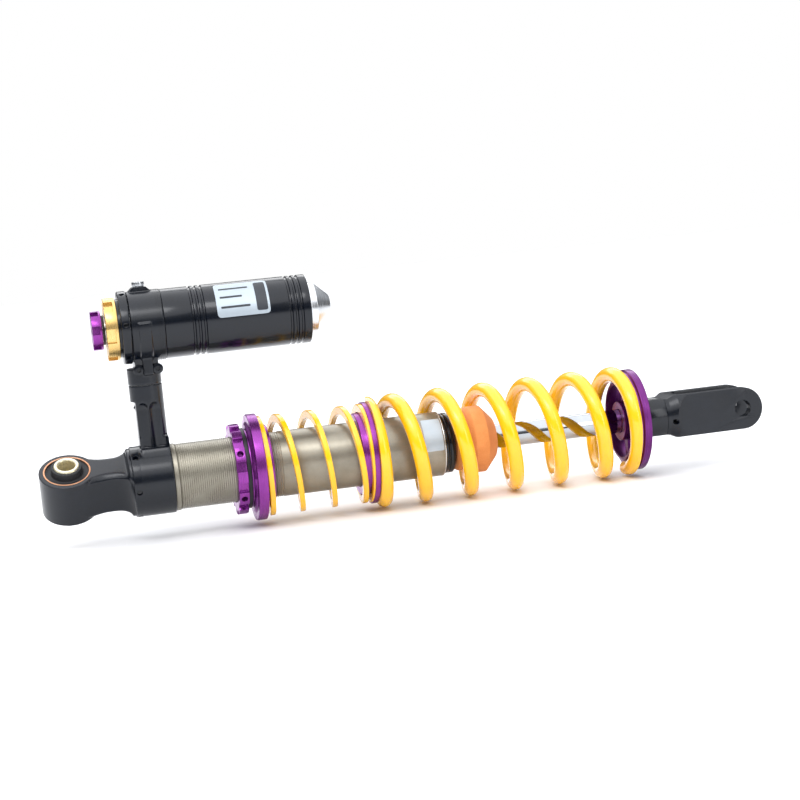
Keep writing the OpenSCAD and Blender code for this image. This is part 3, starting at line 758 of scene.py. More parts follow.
def sticker(
    x0: float, x1: float, width: float, corner: float, radius: float, lift: float, degrees: float
) -> Stock:
    """Makes a thin patch with round corners, wrapped on a cylinder about X.

    Args:
        x0: Start along X.
        x1: End along X.
        width: Width round the cylinder.
        corner: Radius of its corners.
        radius: The cylinder's radius.
        lift: How far its outer face stands off the cylinder.
        degrees: Where its middle lies.
    """
    half = width / 2
    outline = rounded([(x0, -half), (x1, -half), (x1, half), (x0, half)], corner)
    stock = Stock()
    stock.work.faces.new([stock.work.verts.new((x, y, 0)) for x, y in outline])
    for k in range(1, math.ceil(width)):
        bmesh.ops.bisect_plane(
            stock.work, geom=[*stock.work.verts, *stock.work.edges, *stock.work.faces],
            plane_co=(0, -half + k, 0), plane_no=(0, 1, 0),
        )
    grown = bmesh.ops.extrude_face_region(stock.work, geom=list(stock.work.faces))
    verts = [g for g in grown["geom"] if isinstance(g, bmesh.types.BMVert)]
    bmesh.ops.translate(stock.work, verts=verts, vec=(0, 0, lift - 0.01))
    for vert in stock.work.verts:
        angle, reach = vert.co.y / radius, radius + 0.01 + vert.co.z
        vert.co.y, vert.co.z = reach * math.sin(angle), reach * math.cos(angle)
    return stock.clean().turn(degrees)


# ---- sub-assemblies ----


@dataclass
class EyeEnd:
    """The eye, its bush and the lock ring behind it."""

    barrel_r: float = 20.0
    barrel_half: float = 17.0
    ring_r: float = 16.75
    ring_wall: float = 1.2
    sleeve_r: float = 9.0
    bore_r: float = 6.2
    sleeve_half: float = 22.5
    neck_r: float = 19.2
    neck_swell: float = 2.1
    waist_x: float = 31.5
    waist_half: float = 13.0
    runout_r: float = 16.0
    flange_r: float = 24.5
    spigot_r: float = 20.0
    first_hole: float = 41.4
    axis: Vector = field(default_factory=lambda: Vector((0, -0.5, 0.8660254)))

    def sides(self) -> list[Stock]:
        """Returns the two cutters that mill the neck's sides, tangent to the barrel."""
        middle = Vector((self.waist_x, self.waist_half))
        gap = self.barrel_r - self.waist_half
        broad = (middle.x**2 - gap * (self.barrel_r + self.waist_half)) / (2 * gap)
        touch = Vector((middle.x, middle.y + broad)) * self.barrel_r / (self.barrel_r + broad)
        start = math.asin((middle.x - touch.x) / broad)
        left = [
            (middle.x - broad * math.sin(a), middle.y + broad * (1 - math.cos(a)))
            for a in (start * (1 - k / 8) for k in range(9))
        ]
        right = [
            (middle.x + self.runout_r * math.sin(a), middle.y + self.runout_r * (1 - math.cos(a)))
            for a in (math.radians(d) for d in range(8, 66, 8))
        ]
        outline = [(0, self.barrel_r), *left, *right, (right[-1][0], 34), (0, 34)]
        mirrored = [(x, -y) for x, y in reversed(outline)]
        across = math.degrees(math.atan2(self.axis.z, self.axis.y))
        return [Stock.prism(side, 30).turn(across) for side in (outline, mirrored)]

    def mount(self) -> None:
        """Builds the eye: a barrel, a flat-topped turned neck with milled sides and the flange."""
        face = Span.of("eye_lock_ring").x0 - 0.03
        growth = self.flange_r - self.neck_r
        flare = [
            (self.neck_r + growth * (1 - math.cos(a)), face - 13.4 + 11.0 * math.sin(a))
            for a in (math.radians(d) for d in range(0, 91, 10))
        ]
        run = [
            (self.neck_r + self.neck_swell * (1 + math.cos(math.pi * x / 27)), x) for x in range(0, 28, 3)
        ]
        neck = Stock.turned([(0, 0), *run, *flare, (self.flange_r, face + 1), (0, face + 1)])
        tilt = math.degrees(math.atan2(-self.axis.y, self.axis.z))
        slab = Stock.block((-1, -30, -self.barrel_half), (face - 3.0, 30, self.barrel_half)).turn(tilt)
        flange = Stock.block((face - 3.0, -30, -30), (face + 2, 30, 30))
        neck.keep(slab.fuse(flange)).cut(*self.sides()).soften(0.5, 12)
        barrel = Stock.ring(-self.barrel_half, self.barrel_half, self.barrel_r, 0, 0.5).aim(self.axis)
        body = neck.join(barrel).soften(0.45, 3)
        body.cut(
            Stock.ring(-30, 30, self.ring_r + SET_FIT, 0, 0).aim(self.axis),
            Stock.block((face, -30, -30), (face + 5, 30, 30)),
        )
        spigot = Stock.ring(face - 0.5, face + 14.9, self.spigot_r, 0, 0.3)
        body.join(spigot).place("EyeMount", BLACK_MILLED, "damper_body", "eye_mount")

    def bush(self) -> None:
        """Builds the plated ring, the rubber and the sleeve."""
        inner = self.ring_r - self.ring_wall
        half = self.barrel_half
        Stock.ring(-half - 0.3, half + 0.3, self.ring_r, inner, 0.35).aim(self.axis).place(
            "BushRing", COPPER, "damper_body", "bush_ring"
        )
        collar = self.sleeve_r + 1.8
        gap = self.sleeve_r + SET_FIT
        Stock.turned(
            rounded(
                [
                    (gap, -21.4), (collar, -21.4, 0.8), (collar + 0.4, 1.4 - half, 1.2),
                    (inner - 1.6, 1.4 - half, 1.2), (inner - 0.03, 0.8 - half),
                    (inner - 0.03, half - 0.8), (inner - 1.6, half - 1.4, 1.2),
                    (collar + 0.4, half - 1.4, 1.2), (collar, 21.4, 0.8), (gap, 21.4),
                ],
                0.4,
            )
        ).aim(self.axis).place("BushRubber", RUBBER, "damper_body", "bush_rubber")
        Stock.turned(
            rounded(
                [
                    (self.bore_r + 0.7, -self.sleeve_half), (self.sleeve_r - 0.6, -self.sleeve_half),
                    (self.sleeve_r, 0.8 - self.sleeve_half), (self.sleeve_r, self.sleeve_half - 0.8),
                    (self.sleeve_r - 0.6, self.sleeve_half), (self.bore_r + 0.7, self.sleeve_half),
                    (self.bore_r, self.sleeve_half - 0.8), (self.bore_r, 0.8 - self.sleeve_half),
                ],
                0.25,
            )
        ).aim(self.axis).place("BushSleeve", ZINC, "sleeve", "bush_sleeve")

    def lock_ring(self) -> None:
        """Builds the pin-wrench ring that clocks the eye."""
        span = Span.of("eye_lock_ring")
        outer = span.high.y
        Stock.ring(span.x0, span.x1, outer, self.spigot_r + SET_FIT, 0.7).cut(
            spokes((span.x0 + span.x1) / 2, outer - 3.5, outer + 3, self.first_hole, 2.0)
        ).ease(0.2).place("EyeLockRing", BLACK, "damper_body", "eye_lock_ring")

    def build(self) -> None:
        """Builds the whole sub-assembly."""
        self.mount()
        self.bush()
        self.lock_ring()


@dataclass
class Arm:
    """The housing on the damper and the fluted arm up to the reservoir."""

    flute_r: float = 6.0
    flute_top: float = 58.0
    flute_apart: float = 5.6
    seam_z: float = 69.5
    socket_r: float = 12.0
    housing_r: float = 25.5
    foot_r: float = 18.0
    bore_r: float = 20.03

    def flutes(self, mid: float) -> Iterable[Stock]:
        """Yields the cutters of the four round-ended grooves that run up the arm.

        Args:
            mid: The arm's middle along X.
        """
        for side in (-1, 1):
            for across in (-self.flute_apart, self.flute_apart):
                x, y, top = mid + across, side * (self.socket_r + 2.2), self.flute_top - self.flute_r
                yield Stock.bar((x, y, 24), (x, y, top), self.flute_r)
                yield Stock.ball((x, y, top), self.flute_r)

    def foot(self) -> list[tuple[float, float]]:
        """Returns the outline, across the damper, of the sweep from arm to housing."""
        reach, height = self.socket_r + self.foot_r, self.housing_r + self.foot_r
        middle = math.sqrt(height**2 - reach**2)
        sweep_to = math.atan2(middle, reach)
        arc = [
            (reach - self.foot_r * math.cos(a), middle - self.foot_r * math.sin(a))
            for a in (sweep_to * k / 8 for k in range(9))
        ]
        return [*arc, (arc[-1][0], 6.0), (-arc[-1][0], 6.0), *[(-y, z) for y, z in reversed(arc)]]

    def build(self) -> None:
        """Builds the housing with its arm."""
        span = Span.of("arm_housing")
        mid = span.mid.x
        left, right = span.x0 + 3.0, span.x1 - 0.1
        arm = Stock.bar((mid, 0, 0), (mid, 0, self.flute_top + 1), self.socket_r, 128)
        arm.keep(Stock.block((left, -20, 0), (right + 1.5, 20, self.flute_top + 4)))
        gusset = Stock.prism(self.foot(), (right - left) / 2).spun(90).move(x=(left + right) / 2)
        taper = Stock.cone((mid + 2.6, 0, self.flute_top - 6), (mid, 0, self.flute_top), 9.2, self.socket_r)
        arm.join(gusset, taper).soften(0.5, 8)
        arm.cut(*self.flutes(mid))
        collar = Stock.ring(span.x0, span.x1, self.housing_r, 0, 0.5)
        socket = Stock.bar((mid, 0, self.flute_top - 0.5), (mid, 0, self.seam_z), self.socket_r, 128)
        body = collar.join(arm, socket).soften(0.45, 5)
        body.cut(
            Stock.ring(span.x0 - 2, span.x1 + 2, self.bore_r, 0, 0),
            Stock.block((mid - 20, -20, self.seam_z - 0.35), (mid + 20, 20, self.seam_z + 5)),
            Stock.block((span.x1, -30, -30), (span.x1 + 6, 30, 30)),
        )
        body.place("ArmHousing", BLACK_MILLED, "damper_body", "arm_housing")


@dataclass
class DamperTube:
    """The threaded body, its label, the seal head and the bump stop."""

    radius: float = 24.0
    bore: float = 21.0
    pitch: float = 1.5
    depth: float = 0.6
    thread_from: float = 3.8
    thread_length: float = 75.0
    rod_r: float = 9.0

    def tube(self) -> None:
        """Builds the tube: a bare ring, the thread and the plain length."""
        span = Span.of("body_tube")
        start = Span.of("arm_housing").x1
        thread = start + self.thread_from
        crest, root = 0.22 * self.pitch, 0.2 * self.pitch
        profile = [
            (self.bore, span.x0), (self.bore + 1, span.x0), (self.bore + 1, start + 0.05),
            (self.radius + 0.2, start + 0.05), (self.radius + 0.4, start + 0.3),
            (self.radius + 0.4, thread - 0.6), (self.radius - self.depth, thread - 0.3),
        ]
        for k in range(int(self.thread_length / self.pitch)):
            x = thread + k * self.pitch
            profile += [
                (self.radius, x + crest / 2), (self.radius, x + crest),
                (self.radius - self.depth, x + (self.pitch + crest - root) / 2),
                (self.radius - self.depth, x + (self.pitch + crest + root) / 2),
            ]
        end = span.x1
        profile += [
            (self.radius, thread + self.thread_length + 0.4), (self.radius, end - 0.9),
            (self.radius - 0.3, end - 0.3), (self.radius - 0.9, end), (self.bore, end),
        ]
        Stock.turned(profile, 144).place("BodyTube", HARD, "damper_body", "body_tube", sharp=50)

    def label(self) -> None:
        """Builds the blank foil label at the tube's end."""
        span = Span.of("tube_label")
        sticker(span.x0, span.x1, 26, 1.2, self.radius, 0.16, 64).place(
            "TubeLabel", FOIL, "damper_body", "tube_label"
        )

    def seal(self) -> None:
        """Builds the seal head's shoulder."""
        tube, span = Span.of("body_tube"), Span.of("seal_head")
        outer = span.high.y
        Stock.turned(
            rounded(
                [
                    (self.rod_r + 0.3, span.x0), (self.bore - 0.1, span.x0),
                    (self.bore - 0.1, tube.x1 + 0.05), (outer, tube.x1 + 0.05),
                    (outer, tube.x1 + 2.6), (outer - 0.7, tube.x1 + 2.9),
                    (outer - 0.7, tube.x1 + 3.7), (outer, tube.x1 + 4.0), (outer, span.x1 - 1.4),
                    (outer - 1.4, span.x1), (self.rod_r + 0.3, span.x1),
                ],
                0.3,
            )
        ).place("SealHead", BLACK, "damper_body", "seal_head")

    def end_ring_and_glint(self) -> None:
        """Builds the bare aluminium edge at the tube's open end; its brightness is partly a painted highlight
        for the glint on the chamfer.
        """
        end = Span.of("body_tube").x1
        # A bright aluminium band: the bare edge, and partly a painted highlight for the chamfer's glint.
        Stock.ring(end - 0.85, end - 0.02, self.radius + 0.12, self.bore + 1.5, 0.3).place(
            "TubeEndRingAndGlint", ALUMINIUM, "damper_body"
        )

    def bump_stop(self) -> None:
        """Builds the foam bump stop with its waist and its big lobe."""
        span = Span.of("bump_stop")
        r = span.high.y
        x = span.x0
        Stock.turned(
            rounded(
                [
                    (self.rod_r + 0.6, x), (r * 0.7, x, 1.5), (r * 0.87, x + 3.2, 3.0),
                    (r * 0.87, x + 6.6, 2.4), (r * 0.76, x + 9.6, 2.0), (r * 0.9, x + 11.8, 2.0),
                    (r, x + 14.6, 1.6), (r, x + 24.4, 1.0), (r * 0.6, span.x1 - 0.3, 1.2),
                    (r * 0.54, span.x1, 0.6), (self.rod_r + 0.6, span.x1),
                ],
                0.5,
            )
        ).place("BumpStop", FOAM, "damper_body", "bump_stop")

    def build(self) -> None:
        """Builds the whole sub-assembly."""
        self.tube()
        self.label()
        self.seal()
        self.end_ring_and_glint()
        self.bump_stop()


@dataclass
class SpringSeats:
    """The adjuster nut, the perch, the ring between the springs and the upper plate."""

    tube_r: float = 24.0
    collar_r: float = 30.2
    notch: float = 3.0
    first_hole: float = 4.7
    notch_angle: float = 16.25
    hole_r: float = 2.4
    rod_r: float = 9.0

    def nut(self) -> None:
        """Builds the castellated nut with its pin-wrench holes."""
        span = Span.of("adjuster_nut")
        r = 33.0
        body = Stock.ring(span.x0, span.x1, r, self.tube_r + SET_FIT, 0.3)
        notches = Stock()
        for k in range(6):
            for side in (-1, 1):
                slot = Stock.block((span.x0 - 1, -3.9, r - self.notch), (span.x1 + 1, 3.9, r + 2))
                notches.join(slot.turn(self.first_hole + 60 * k + side * self.notch_angle))
        holes = spokes((span.x0 + span.x1) / 2, r - 7, r + 2, self.first_hole, self.hole_r)
        body.cut(notches, holes).ease(0.45).place("AdjusterNut", PURPLE, "adjuster", "adjuster_nut")

    def perch(self) -> None:
        """Builds the perch: a stepped hub, the rim and the locating collar."""
        span = Span.of("spring_perch")
        r = span.high.y
        rim = span.x0 + 2.6
        face = rim + 7.3
        collar = self.collar_r
        inner = self.tube_r + SET_FIT
        body = Stock.turned(
            rounded(
                [
                    (inner, span.x0), (collar - 1.8, span.x0), (collar - 1.8, span.x0 + 0.9),
                    (collar + 1.4, span.x0 + 0.9), (collar + 3.4, rim, 0.6), (r, rim, 0.9), (r, face, 0.9),
                    (collar, face, 0.6), (collar, span.x1, 1.2), (collar - 3, span.x1),
                    (collar - 3, face - 3), (inner, face - 3),
                ],
                0.35,
            )
        )
        slots = Stock()
        for degrees in (-10, 176):
            slots.join(Stock.block((rim - 0.5, -0.65, collar + 4), (rim + 1.2, 0.65, r + 1)).turn(degrees))
        body.cut(slots).place("SpringPerch", PURPLE, "perch", "spring_perch")
        # A black plastic glide ring; its black also stands in as painted shade for the dark gap between the
        # nut and the perch.
        glide = Span.of("glide_ring")
        Stock.ring(glide.x0, glide.x1, glide.high.y, self.tube_r + 0.4, 0.5).place(
            "GlideRingAndGapShade", PLASTIC, "perch", "glide_ring"
        )

    def separator(self) -> None:
        """Builds the ring that sits between the two springs."""
        span = Span.of("spring_separator")
        r, collar, guide = span.high.y, self.collar_r, self.tube_r + 0.4
        start, end = span.x0 + COLLAR_LENGTH, span.x1 - COLLAR_LENGTH
        Stock.turned(
            rounded(
                [
                    (guide, span.x0), (collar, span.x0, 1.0), (collar, start, 0.3), (r, start, 0.6),
                    (r, end, 0.6), (collar, end, 0.3), (collar, span.x1, 1.0),
                    (collar - 2.6, span.x1), (guide + 1.4, end), (guide, end),
                ],
                0.35,
            )
        ).place("SpringSeparator", PURPLE, "separator", "spring_separator")

    def upper_plate(self) -> None:
        """Builds the spoked plate at the springs' upper end."""
        span = Span.of("upper_spring_plate")
        r, lip, inner = span.high.y, self.collar_r, 27.6
        hub_r = self.rod_r + 6.0
        seat = span.x0 + SEAT_STEP
        body = Stock.turned(
            rounded(
                [
                    (inner, span.x0), (lip, span.x0, 0.9), (lip, seat, 0.3), (r - 1.7, seat, 0.4),
                    (r - 1.7, seat + 2.2), (r, seat + 3.0, 0.7), (r, span.x1, 0.8),
                    (inner, span.x1, 0.6),
                ],
                0.35,
            )
        )
        hub = Stock.ring(span.x0, span.x1, hub_r, self.rod_r + SET_FIT, 0.6)
        arms = [
            Stock.block((seat + 0.4, -3.2, hub_r - 0.6), (span.x1 - 1.2, 3.2, inner + 0.8)).turn(90 * k)
            for k in range(4)
        ]
        # The plate takes the darker purple, which is painted shade.
        body.fuse(hub, *arms).place("UpperSpringPlate", PURPLE_SHADED, "upper_plate", "upper_spring_plate")

    def build(self) -> None:
        """Builds the whole sub-assembly."""
        self.nut()
        self.perch()
        self.separator()
        self.upper_plate()


@dataclass
class Spring:
    """One coil spring with ground ends."""

    name: str
    node: str
    body: str
    section: list[tuple[float, float]]
    radius: float
    x0: float
    x1: float
    turns: float
    closed: float
    ramp: float
    end_pitch: float
    start: float
    inset: float
    keep: float
    per_turn: int = 72

    def rise(self, n: float) -> float:
        """Returns how far the wire has risen after n turns.

        Args:
            n: Turns from the start.
        """
        length = self.x1 - self.x0 - 2 * self.inset
        spare = length - self.end_pitch * self.turns
        full = self.end_pitch + spare / (self.turns - 2 * self.closed - self.ramp)

        def lead(m: float) -> float:
            """Returns the turns of full pitch gained after m turns from an end."""
            if m < self.closed:
                return 0.0
            if m < self.closed + self.ramp:
                return (m - self.closed) ** 2 / (2 * self.ramp)
            return m - self.closed - self.ramp / 2

        if n < self.turns / 2:
            return self.end_pitch * n + (full - self.end_pitch) * lead(n)
        left = self.turns - n
        return length - self.end_pitch * left - (full - self.end_pitch) * lead(left)

    def build(self) -> None:
        """Sweeps the wire and grinds its ends."""
        stock = Stock()
        work = stock.work
        verts = [work.verts.new((a, 0.0, self.radius + r)) for r, a in self.section]
        edges = [work.edges.new((v, verts[(i + 1) % len(verts)])) for i, v in enumerate(verts)]
        steps = round(self.turns * self.per_turn)
        apart = 100.0
        bmesh.ops.spin(
            work, geom=verts + edges, cent=(0, 0, 0), axis=ALONG, dvec=(apart, 0, 0),
            angle=math.tau * self.turns, steps=steps,
        )
        rims: dict[int, set[bmesh.types.BMEdge]] = {0: set(), steps: set()}
        index = {v: round(v.co.x / apart) for v in work.verts}
        for edge in work.edges:
            ends = {index[v] for v in edge.verts}
            if len(ends) == 1 and (step := ends.pop()) in rims:
                rims[step].add(edge)
        for vert, step in index.items():
            x = vert.co.x - step * apart + self.x0 + self.inset + self.rise(step * self.turns / steps)
            vert.co.x = min(max(x, self.x0), self.x1)
        for rim in rims.values():
            bmesh.ops.edgeloop_fill(work, edges=list(rim))
        bmesh.ops.remove_doubles(work, verts=work.verts, dist=1e-5)
        bmesh.ops.recalc_face_normals(work, faces=work.faces)
        stock.turn(self.start)
        piece = stock.place(self.name, YELLOW, self.body, self.node, sharp=40)
        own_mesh(piece)


@dataclass
class RodSide:
    """The rod, its adaptor and the clevis."""

    rod_r: float = 9.0
    neck_r: float = 19.0
    flat_z: float = 13.5
    ear_r: float = 16.0
    half_w: float = 17.0
    slot_half: float = 9.5
    pin_r: float = 6.5
    reach: float = 61.5
    slot_back: float = 49.5

    def rod(self) -> None:
        """Builds the chromed rod with its turned-down ends."""
        span = Span.of("piston_rod")
        piston, joint = Span.of("piston"), Span.of("rod_adaptor")
        start, end = piston.x1 + 3, joint.x0 + 5
        Stock.turned(
            rounded(
                [
                    (2.5, span.x0), (6, span.x0), (6, start), (self.rod_r, start), (self.rod_r, end),
                    (self.rod_r - 1.5, end), (self.rod_r - 1.5, span.x1), (2.5, span.x1),
                ],
                0.4,
            )
        ).place("PistonRod", CHROME, "rod", "piston_rod")

    def adaptor(self) -> None:
        """Builds the adaptor with its two spanner flats."""
        span = Span.of("rod_adaptor")
        body = Stock.ring(span.x0, span.x1, self.neck_r, self.rod_r - 1.4, 0.5)
        body.cut(
            Stock.ring(span.x0 - 1, span.x0 + 5.1, self.rod_r + SET_FIT, 0, 0),
            *[
                Stock.block((span.x0 + 2, -30, self.flat_z), (span.x1 + 1, 30, 40)).turn(180 * k)
                for k in range(2)
            ],
        )
        body.ease(0.35).place("RodAdaptor", BLACK, "rod", "rod_adaptor")

    def clevis(self) -> None:
        """Builds the forked end from a turned blank."""
        x0 = Span.of("clevis").x0
        pin = x0 + self.reach
        neck, ear = self.neck_r, self.ear_r
        blank = Stock.turned(
            rounded([(0, x0), (neck, x0, 0.5), (neck, x0 + 3), (neck + 4, x0 + 9), (neck + 4, pin + ear),
                     (0, pin + ear)],
                    0.4, closed=False)
        )
        nose = [(pin + ear * math.sin(a), ear * math.cos(a)) for a in map(math.radians, range(0, 181, 3))]
        side = [
            (x0, -self.flat_z), (x0 + 2.5, -self.flat_z), (x0 + 7, -ear), *reversed(nose), (x0 + 7, ear),
            (x0 + 2.5, self.flat_z), (x0, self.flat_z),
        ]
        blank.keep(Stock.prism(side, 30))
        cheek = x0 + ear + 9
        for hand in (-1, 1):
            y0, y1 = sorted((hand * self.half_w, hand * 30))
            blank.cut(
                Stock.bar((cheek, y0, 0), (cheek, y1, 0), ear + 1.6, 160),
                Stock.block((cheek, y0, -30), (pin + 40, y1, 30)),
            )
        slot = pin - self.slot_back
        cutter = Stock.block((slot, -self.slot_half, -30), (pin + 40, self.slot_half, 30))
        upright = [e for e in cutter.work.edges if all(abs(v.co.x - slot) < 1e-3 for v in e.verts)
                   and abs(e.verts[0].co.z - e.verts[1].co.z) > 1]
        bmesh.ops.bevel(
            cutter.work, geom=upright, offset=6.5, segments=12, profile=0.5, affect="EDGES", material=-1
        )
        blank.cut(
            cutter,
            Stock.bar((pin, -40, 0), (pin, 40, 0), self.pin_r, 128),
            spoke(x0 + 5.6, neck - 8, neck + 6, 100, 2.1),
        )
        blank.ease(0.5, 3).place("Clevis", BLACK_MILLED, "rod", "clevis")

    def grub_screw(self) -> None:
        """Builds the grub screw that locks the clevis."""
        x = Span.of("clevis").x0 + 5.6
        spoke(x, self.neck_r - 7.8, self.neck_r - 1.4, 100, 2.0).cut(
            spoke(x, self.neck_r - 4, self.neck_r, 100, 1.15, 6)
        ).place("ClevisGrubScrew", BLACK_STEEL, "rod", "clevis_grub_screw")

    def build(self) -> None:
        """Builds the whole sub-assembly."""
        self.rod()
        self.adaptor()
        self.clevis()
        self.grub_screw()


@dataclass
class Reservoir:
    """The reservoir: its head on the arm, the tube, the cap and the label."""

    radius: float = 25.0
    head_r: float = 25.5
    bore: float = 21.8
    cartridge_r: float = 16.0
    seam_z: float = 69.5
    socket_r: float = 12.0
    plug_r: float = 3.8
    plug_apart: float = 6.8

    def head(self) -> None:
        """Builds the head: a turned body, the boss on the arm and the rib between."""
        span = Span.of("reservoir_head")
        ring_end = Span.of("reservoir_tube").x0
        x0 = Span.of("reservoir_lock_ring").x1 + 0.4
        x1 = x0 + (ring_end - x0) / 0.7
        mid = Span.of("arm_housing").mid.x
        foot = RESERVOIR_Z - self.head_r
        drum = Stock.ring(x0, x1, self.head_r, 0, 0.5).raised()
        socket = Stock.bar((mid, 0, self.seam_z), (mid, 0, foot - 4), self.socket_r)
        lower = Stock.block(
            (x0 + 0.4, 1.4 - self.socket_r, foot - 7), (mid + 10.4, self.socket_r - 1.4, RESERVOIR_Z)
        )
        shoulder = Stock.prism(
            rounded([(-17, foot + 12), (-11.5, foot + 2), (-10.6, foot - 4), (10.6, foot - 4),
                     (11.5, foot + 2), (17, foot + 12)], 0.1), 8.3
        )
        shoulder.spun(90).move(x=(x0 + mid + 10.8) / 2)
        boss_x = Span.of("bleed_screw").mid.x
        rib = Stock.ring(boss_x - 4.2, boss_x + 4.2, self.head_r + 1.1, 0, 0.3).raised()
        rib.keep(Stock.block((boss_x - 9, -40, foot - 5), (boss_x + 9, -10, RESERVOIR_Z + 3)))
        web = Stock.block((boss_x - 3.4, -14.2, foot - 9), (boss_x + 3.4, -6, foot + 8))
        top = RESERVOIR_Z + self.head_r
        boss = Stock.prism(
            [(boss_x - 8, top - 4), (boss_x + 8, top - 4), (boss_x + 8, top - 0.4), (boss_x + 4.8, top + 2.6),
             (boss_x - 4.8, top + 2.6), (boss_x - 8, top - 0.4)], 6.8
        )
        body = drum.join(socket, lower, shoulder, rib, web, boss).soften(0.45, 4)
        tools = [
            Stock.ring(x0 - 2, x1 + 2, self.cartridge_r + SET_FIT, 0, 0).raised(),
            Stock.block((mid - 20, -20, self.seam_z - 5), (mid + 20, 20, self.seam_z + 0.35)),
        ]
        for hand in (-1, 1):
            x = boss_x + hand * self.plug_apart
            tools.append(Stock.bar((x, -40, foot - 5.2), (x, -8, foot - 5.2), self.plug_r))
        ridges = Stock()
        for k in range(3):
            front = x1 - 1.6 - 1.5 * k
            ridges.join(Stock.ring(front, front + 0.7, self.head_r + 2, self.head_r - 0.35, 0))
        body.cut(*tools, ridges.raised())
        body.place("ReservoirHead", BLACK_MILLED, "damper_body", "reservoir_head")
        self._fittings(boss_x, foot, span)

    def _fittings(self, mid: float, foot: float, span: Span) -> None:
        """Builds the passage plugs and the bleed screw.

        Args:
            mid: The middle between the plugs along X.
            foot: The bottom of the head's drum.
            span: The head's box.
        """
        plugs = Stock()
        for hand in (-1, 1):
            x, z = mid + hand * self.plug_apart, foot - 5.2
            plug = Stock.ring(8.0, 12.4, self.plug_r - 0.05, 0, 0.4)
            plug.cut(Stock.bar((10, 0, 0), (14, 0, 0), 1.7, 6))
            plugs.join(plug.aim(Vector((0, -1, 0))).move(x=x, z=z))
        plugs.place("PassagePlugs", BLACK, "damper_body", "passage_plugs")
        screw = Span.of("bleed_screw")
        tall = screw.high.z - span.high.z
        head = Stock.turned(
            rounded([(0, screw.low.z), (2.45, screw.low.z), (2.45, screw.high.z - tall),
                     (4.4, screw.high.z - tall), (4.4, screw.high.z), (0, screw.high.z)],
                    0.4, closed=False)
        )
        head.cut(Stock.bar((screw.high.z - 2.4, 0, 0), (screw.high.z + 2, 0, 0), 2.1, 6))
        head.aim(UP).move(x=screw.mid.x).place("BleedScrew", STEEL, "damper_body", "bleed_screw")

    def tube(self) -> None:
        """Builds the tube with its two sets of grooves."""
        span = Span.of("reservoir_tube")
        start = Span.of("reservoir_head").x1
        r, depth = self.radius, 1.0
        grooves: list[tuple[float, ...]] = []
        for x in (*(start + 20.7 + 4 * k for k in range(3)), *(span.x1 - 14.7 + 4 * k for k in range(3))):
            floor = r - depth
            grooves += [(r, x - 1.1, 0.3), (floor, x - 0.6, 0.3), (floor, x + 0.6, 0.3), (r, x + 1.1, 0.3)]
        Stock.turned(
            rounded(
                [
                    (self.bore, span.x0), (self.bore + 1, span.x0), (self.bore + 1, start + 0.05),
                    (r, start + 0.05, 0.6), *grooves, (r, span.x1, 0.8), (self.bore, span.x1),
                ],
                0.3,
            )
        ).raised().place("ReservoirTube", BLACK_HIGH, "damper_body", "reservoir_tube")

    def label(self) -> None:
        """Builds the foil label with a dark panel and three plain bars."""
        span = Span.of("reservoir_label")
        x0, x1 = span.x0 + 4.0, span.x1
        sticker(x0, x1, 30, 3.2, self.radius, 0.14, 54).raised().place(
            "ReservoirLabel", FOIL, "damper_body", "reservoir_label"
        )
        print_r = self.radius + 0.15
        panels = sticker(x1 - 9.5, x1 - 1.6, 25, 1.8, print_r, 0.05, 54)
        for k in range(3):
            panels.join(sticker(x0 + 3, x1 - 14 - 5 * (k == 1), 1.6, 0.6, print_r, 0.05, 54 - 18 + 18 * k))
        panels.raised().place("ReservoirLabelPrint", INK, "damper_body")

    def end_cap(self) -> None:
        """Builds the turned end cap."""
        span = Span.of("reservoir_end_cap")
        seam = Span.of("reservoir_tube").x1
        cap = 18.6
        tip = span.x1
        Stock.turned(
            rounded(
                [
                    (4.05, tip - 7), (2.3, tip - 7), (2.3, span.x0), (self.bore - 0.1, span.x0),
                    (self.bore - 0.1, seam - 1.2), (cap, seam - 1.0), (cap, seam + 5.6, 0.7),
                    (cap * 0.5, tip - 0.8, 1.2), (cap * 0.45, tip, 0.4), (4.05, tip, 0.3),
                ],
                0.3,
            )
        ).raised().place("ReservoirEndCap", ALUMINIUM_HIGH, "damper_body", "reservoir_end_cap")

    def build(self) -> None:
        """Builds the whole sub-assembly."""
        self.head()
        self.tube()
        self.label()
        self.end_cap()


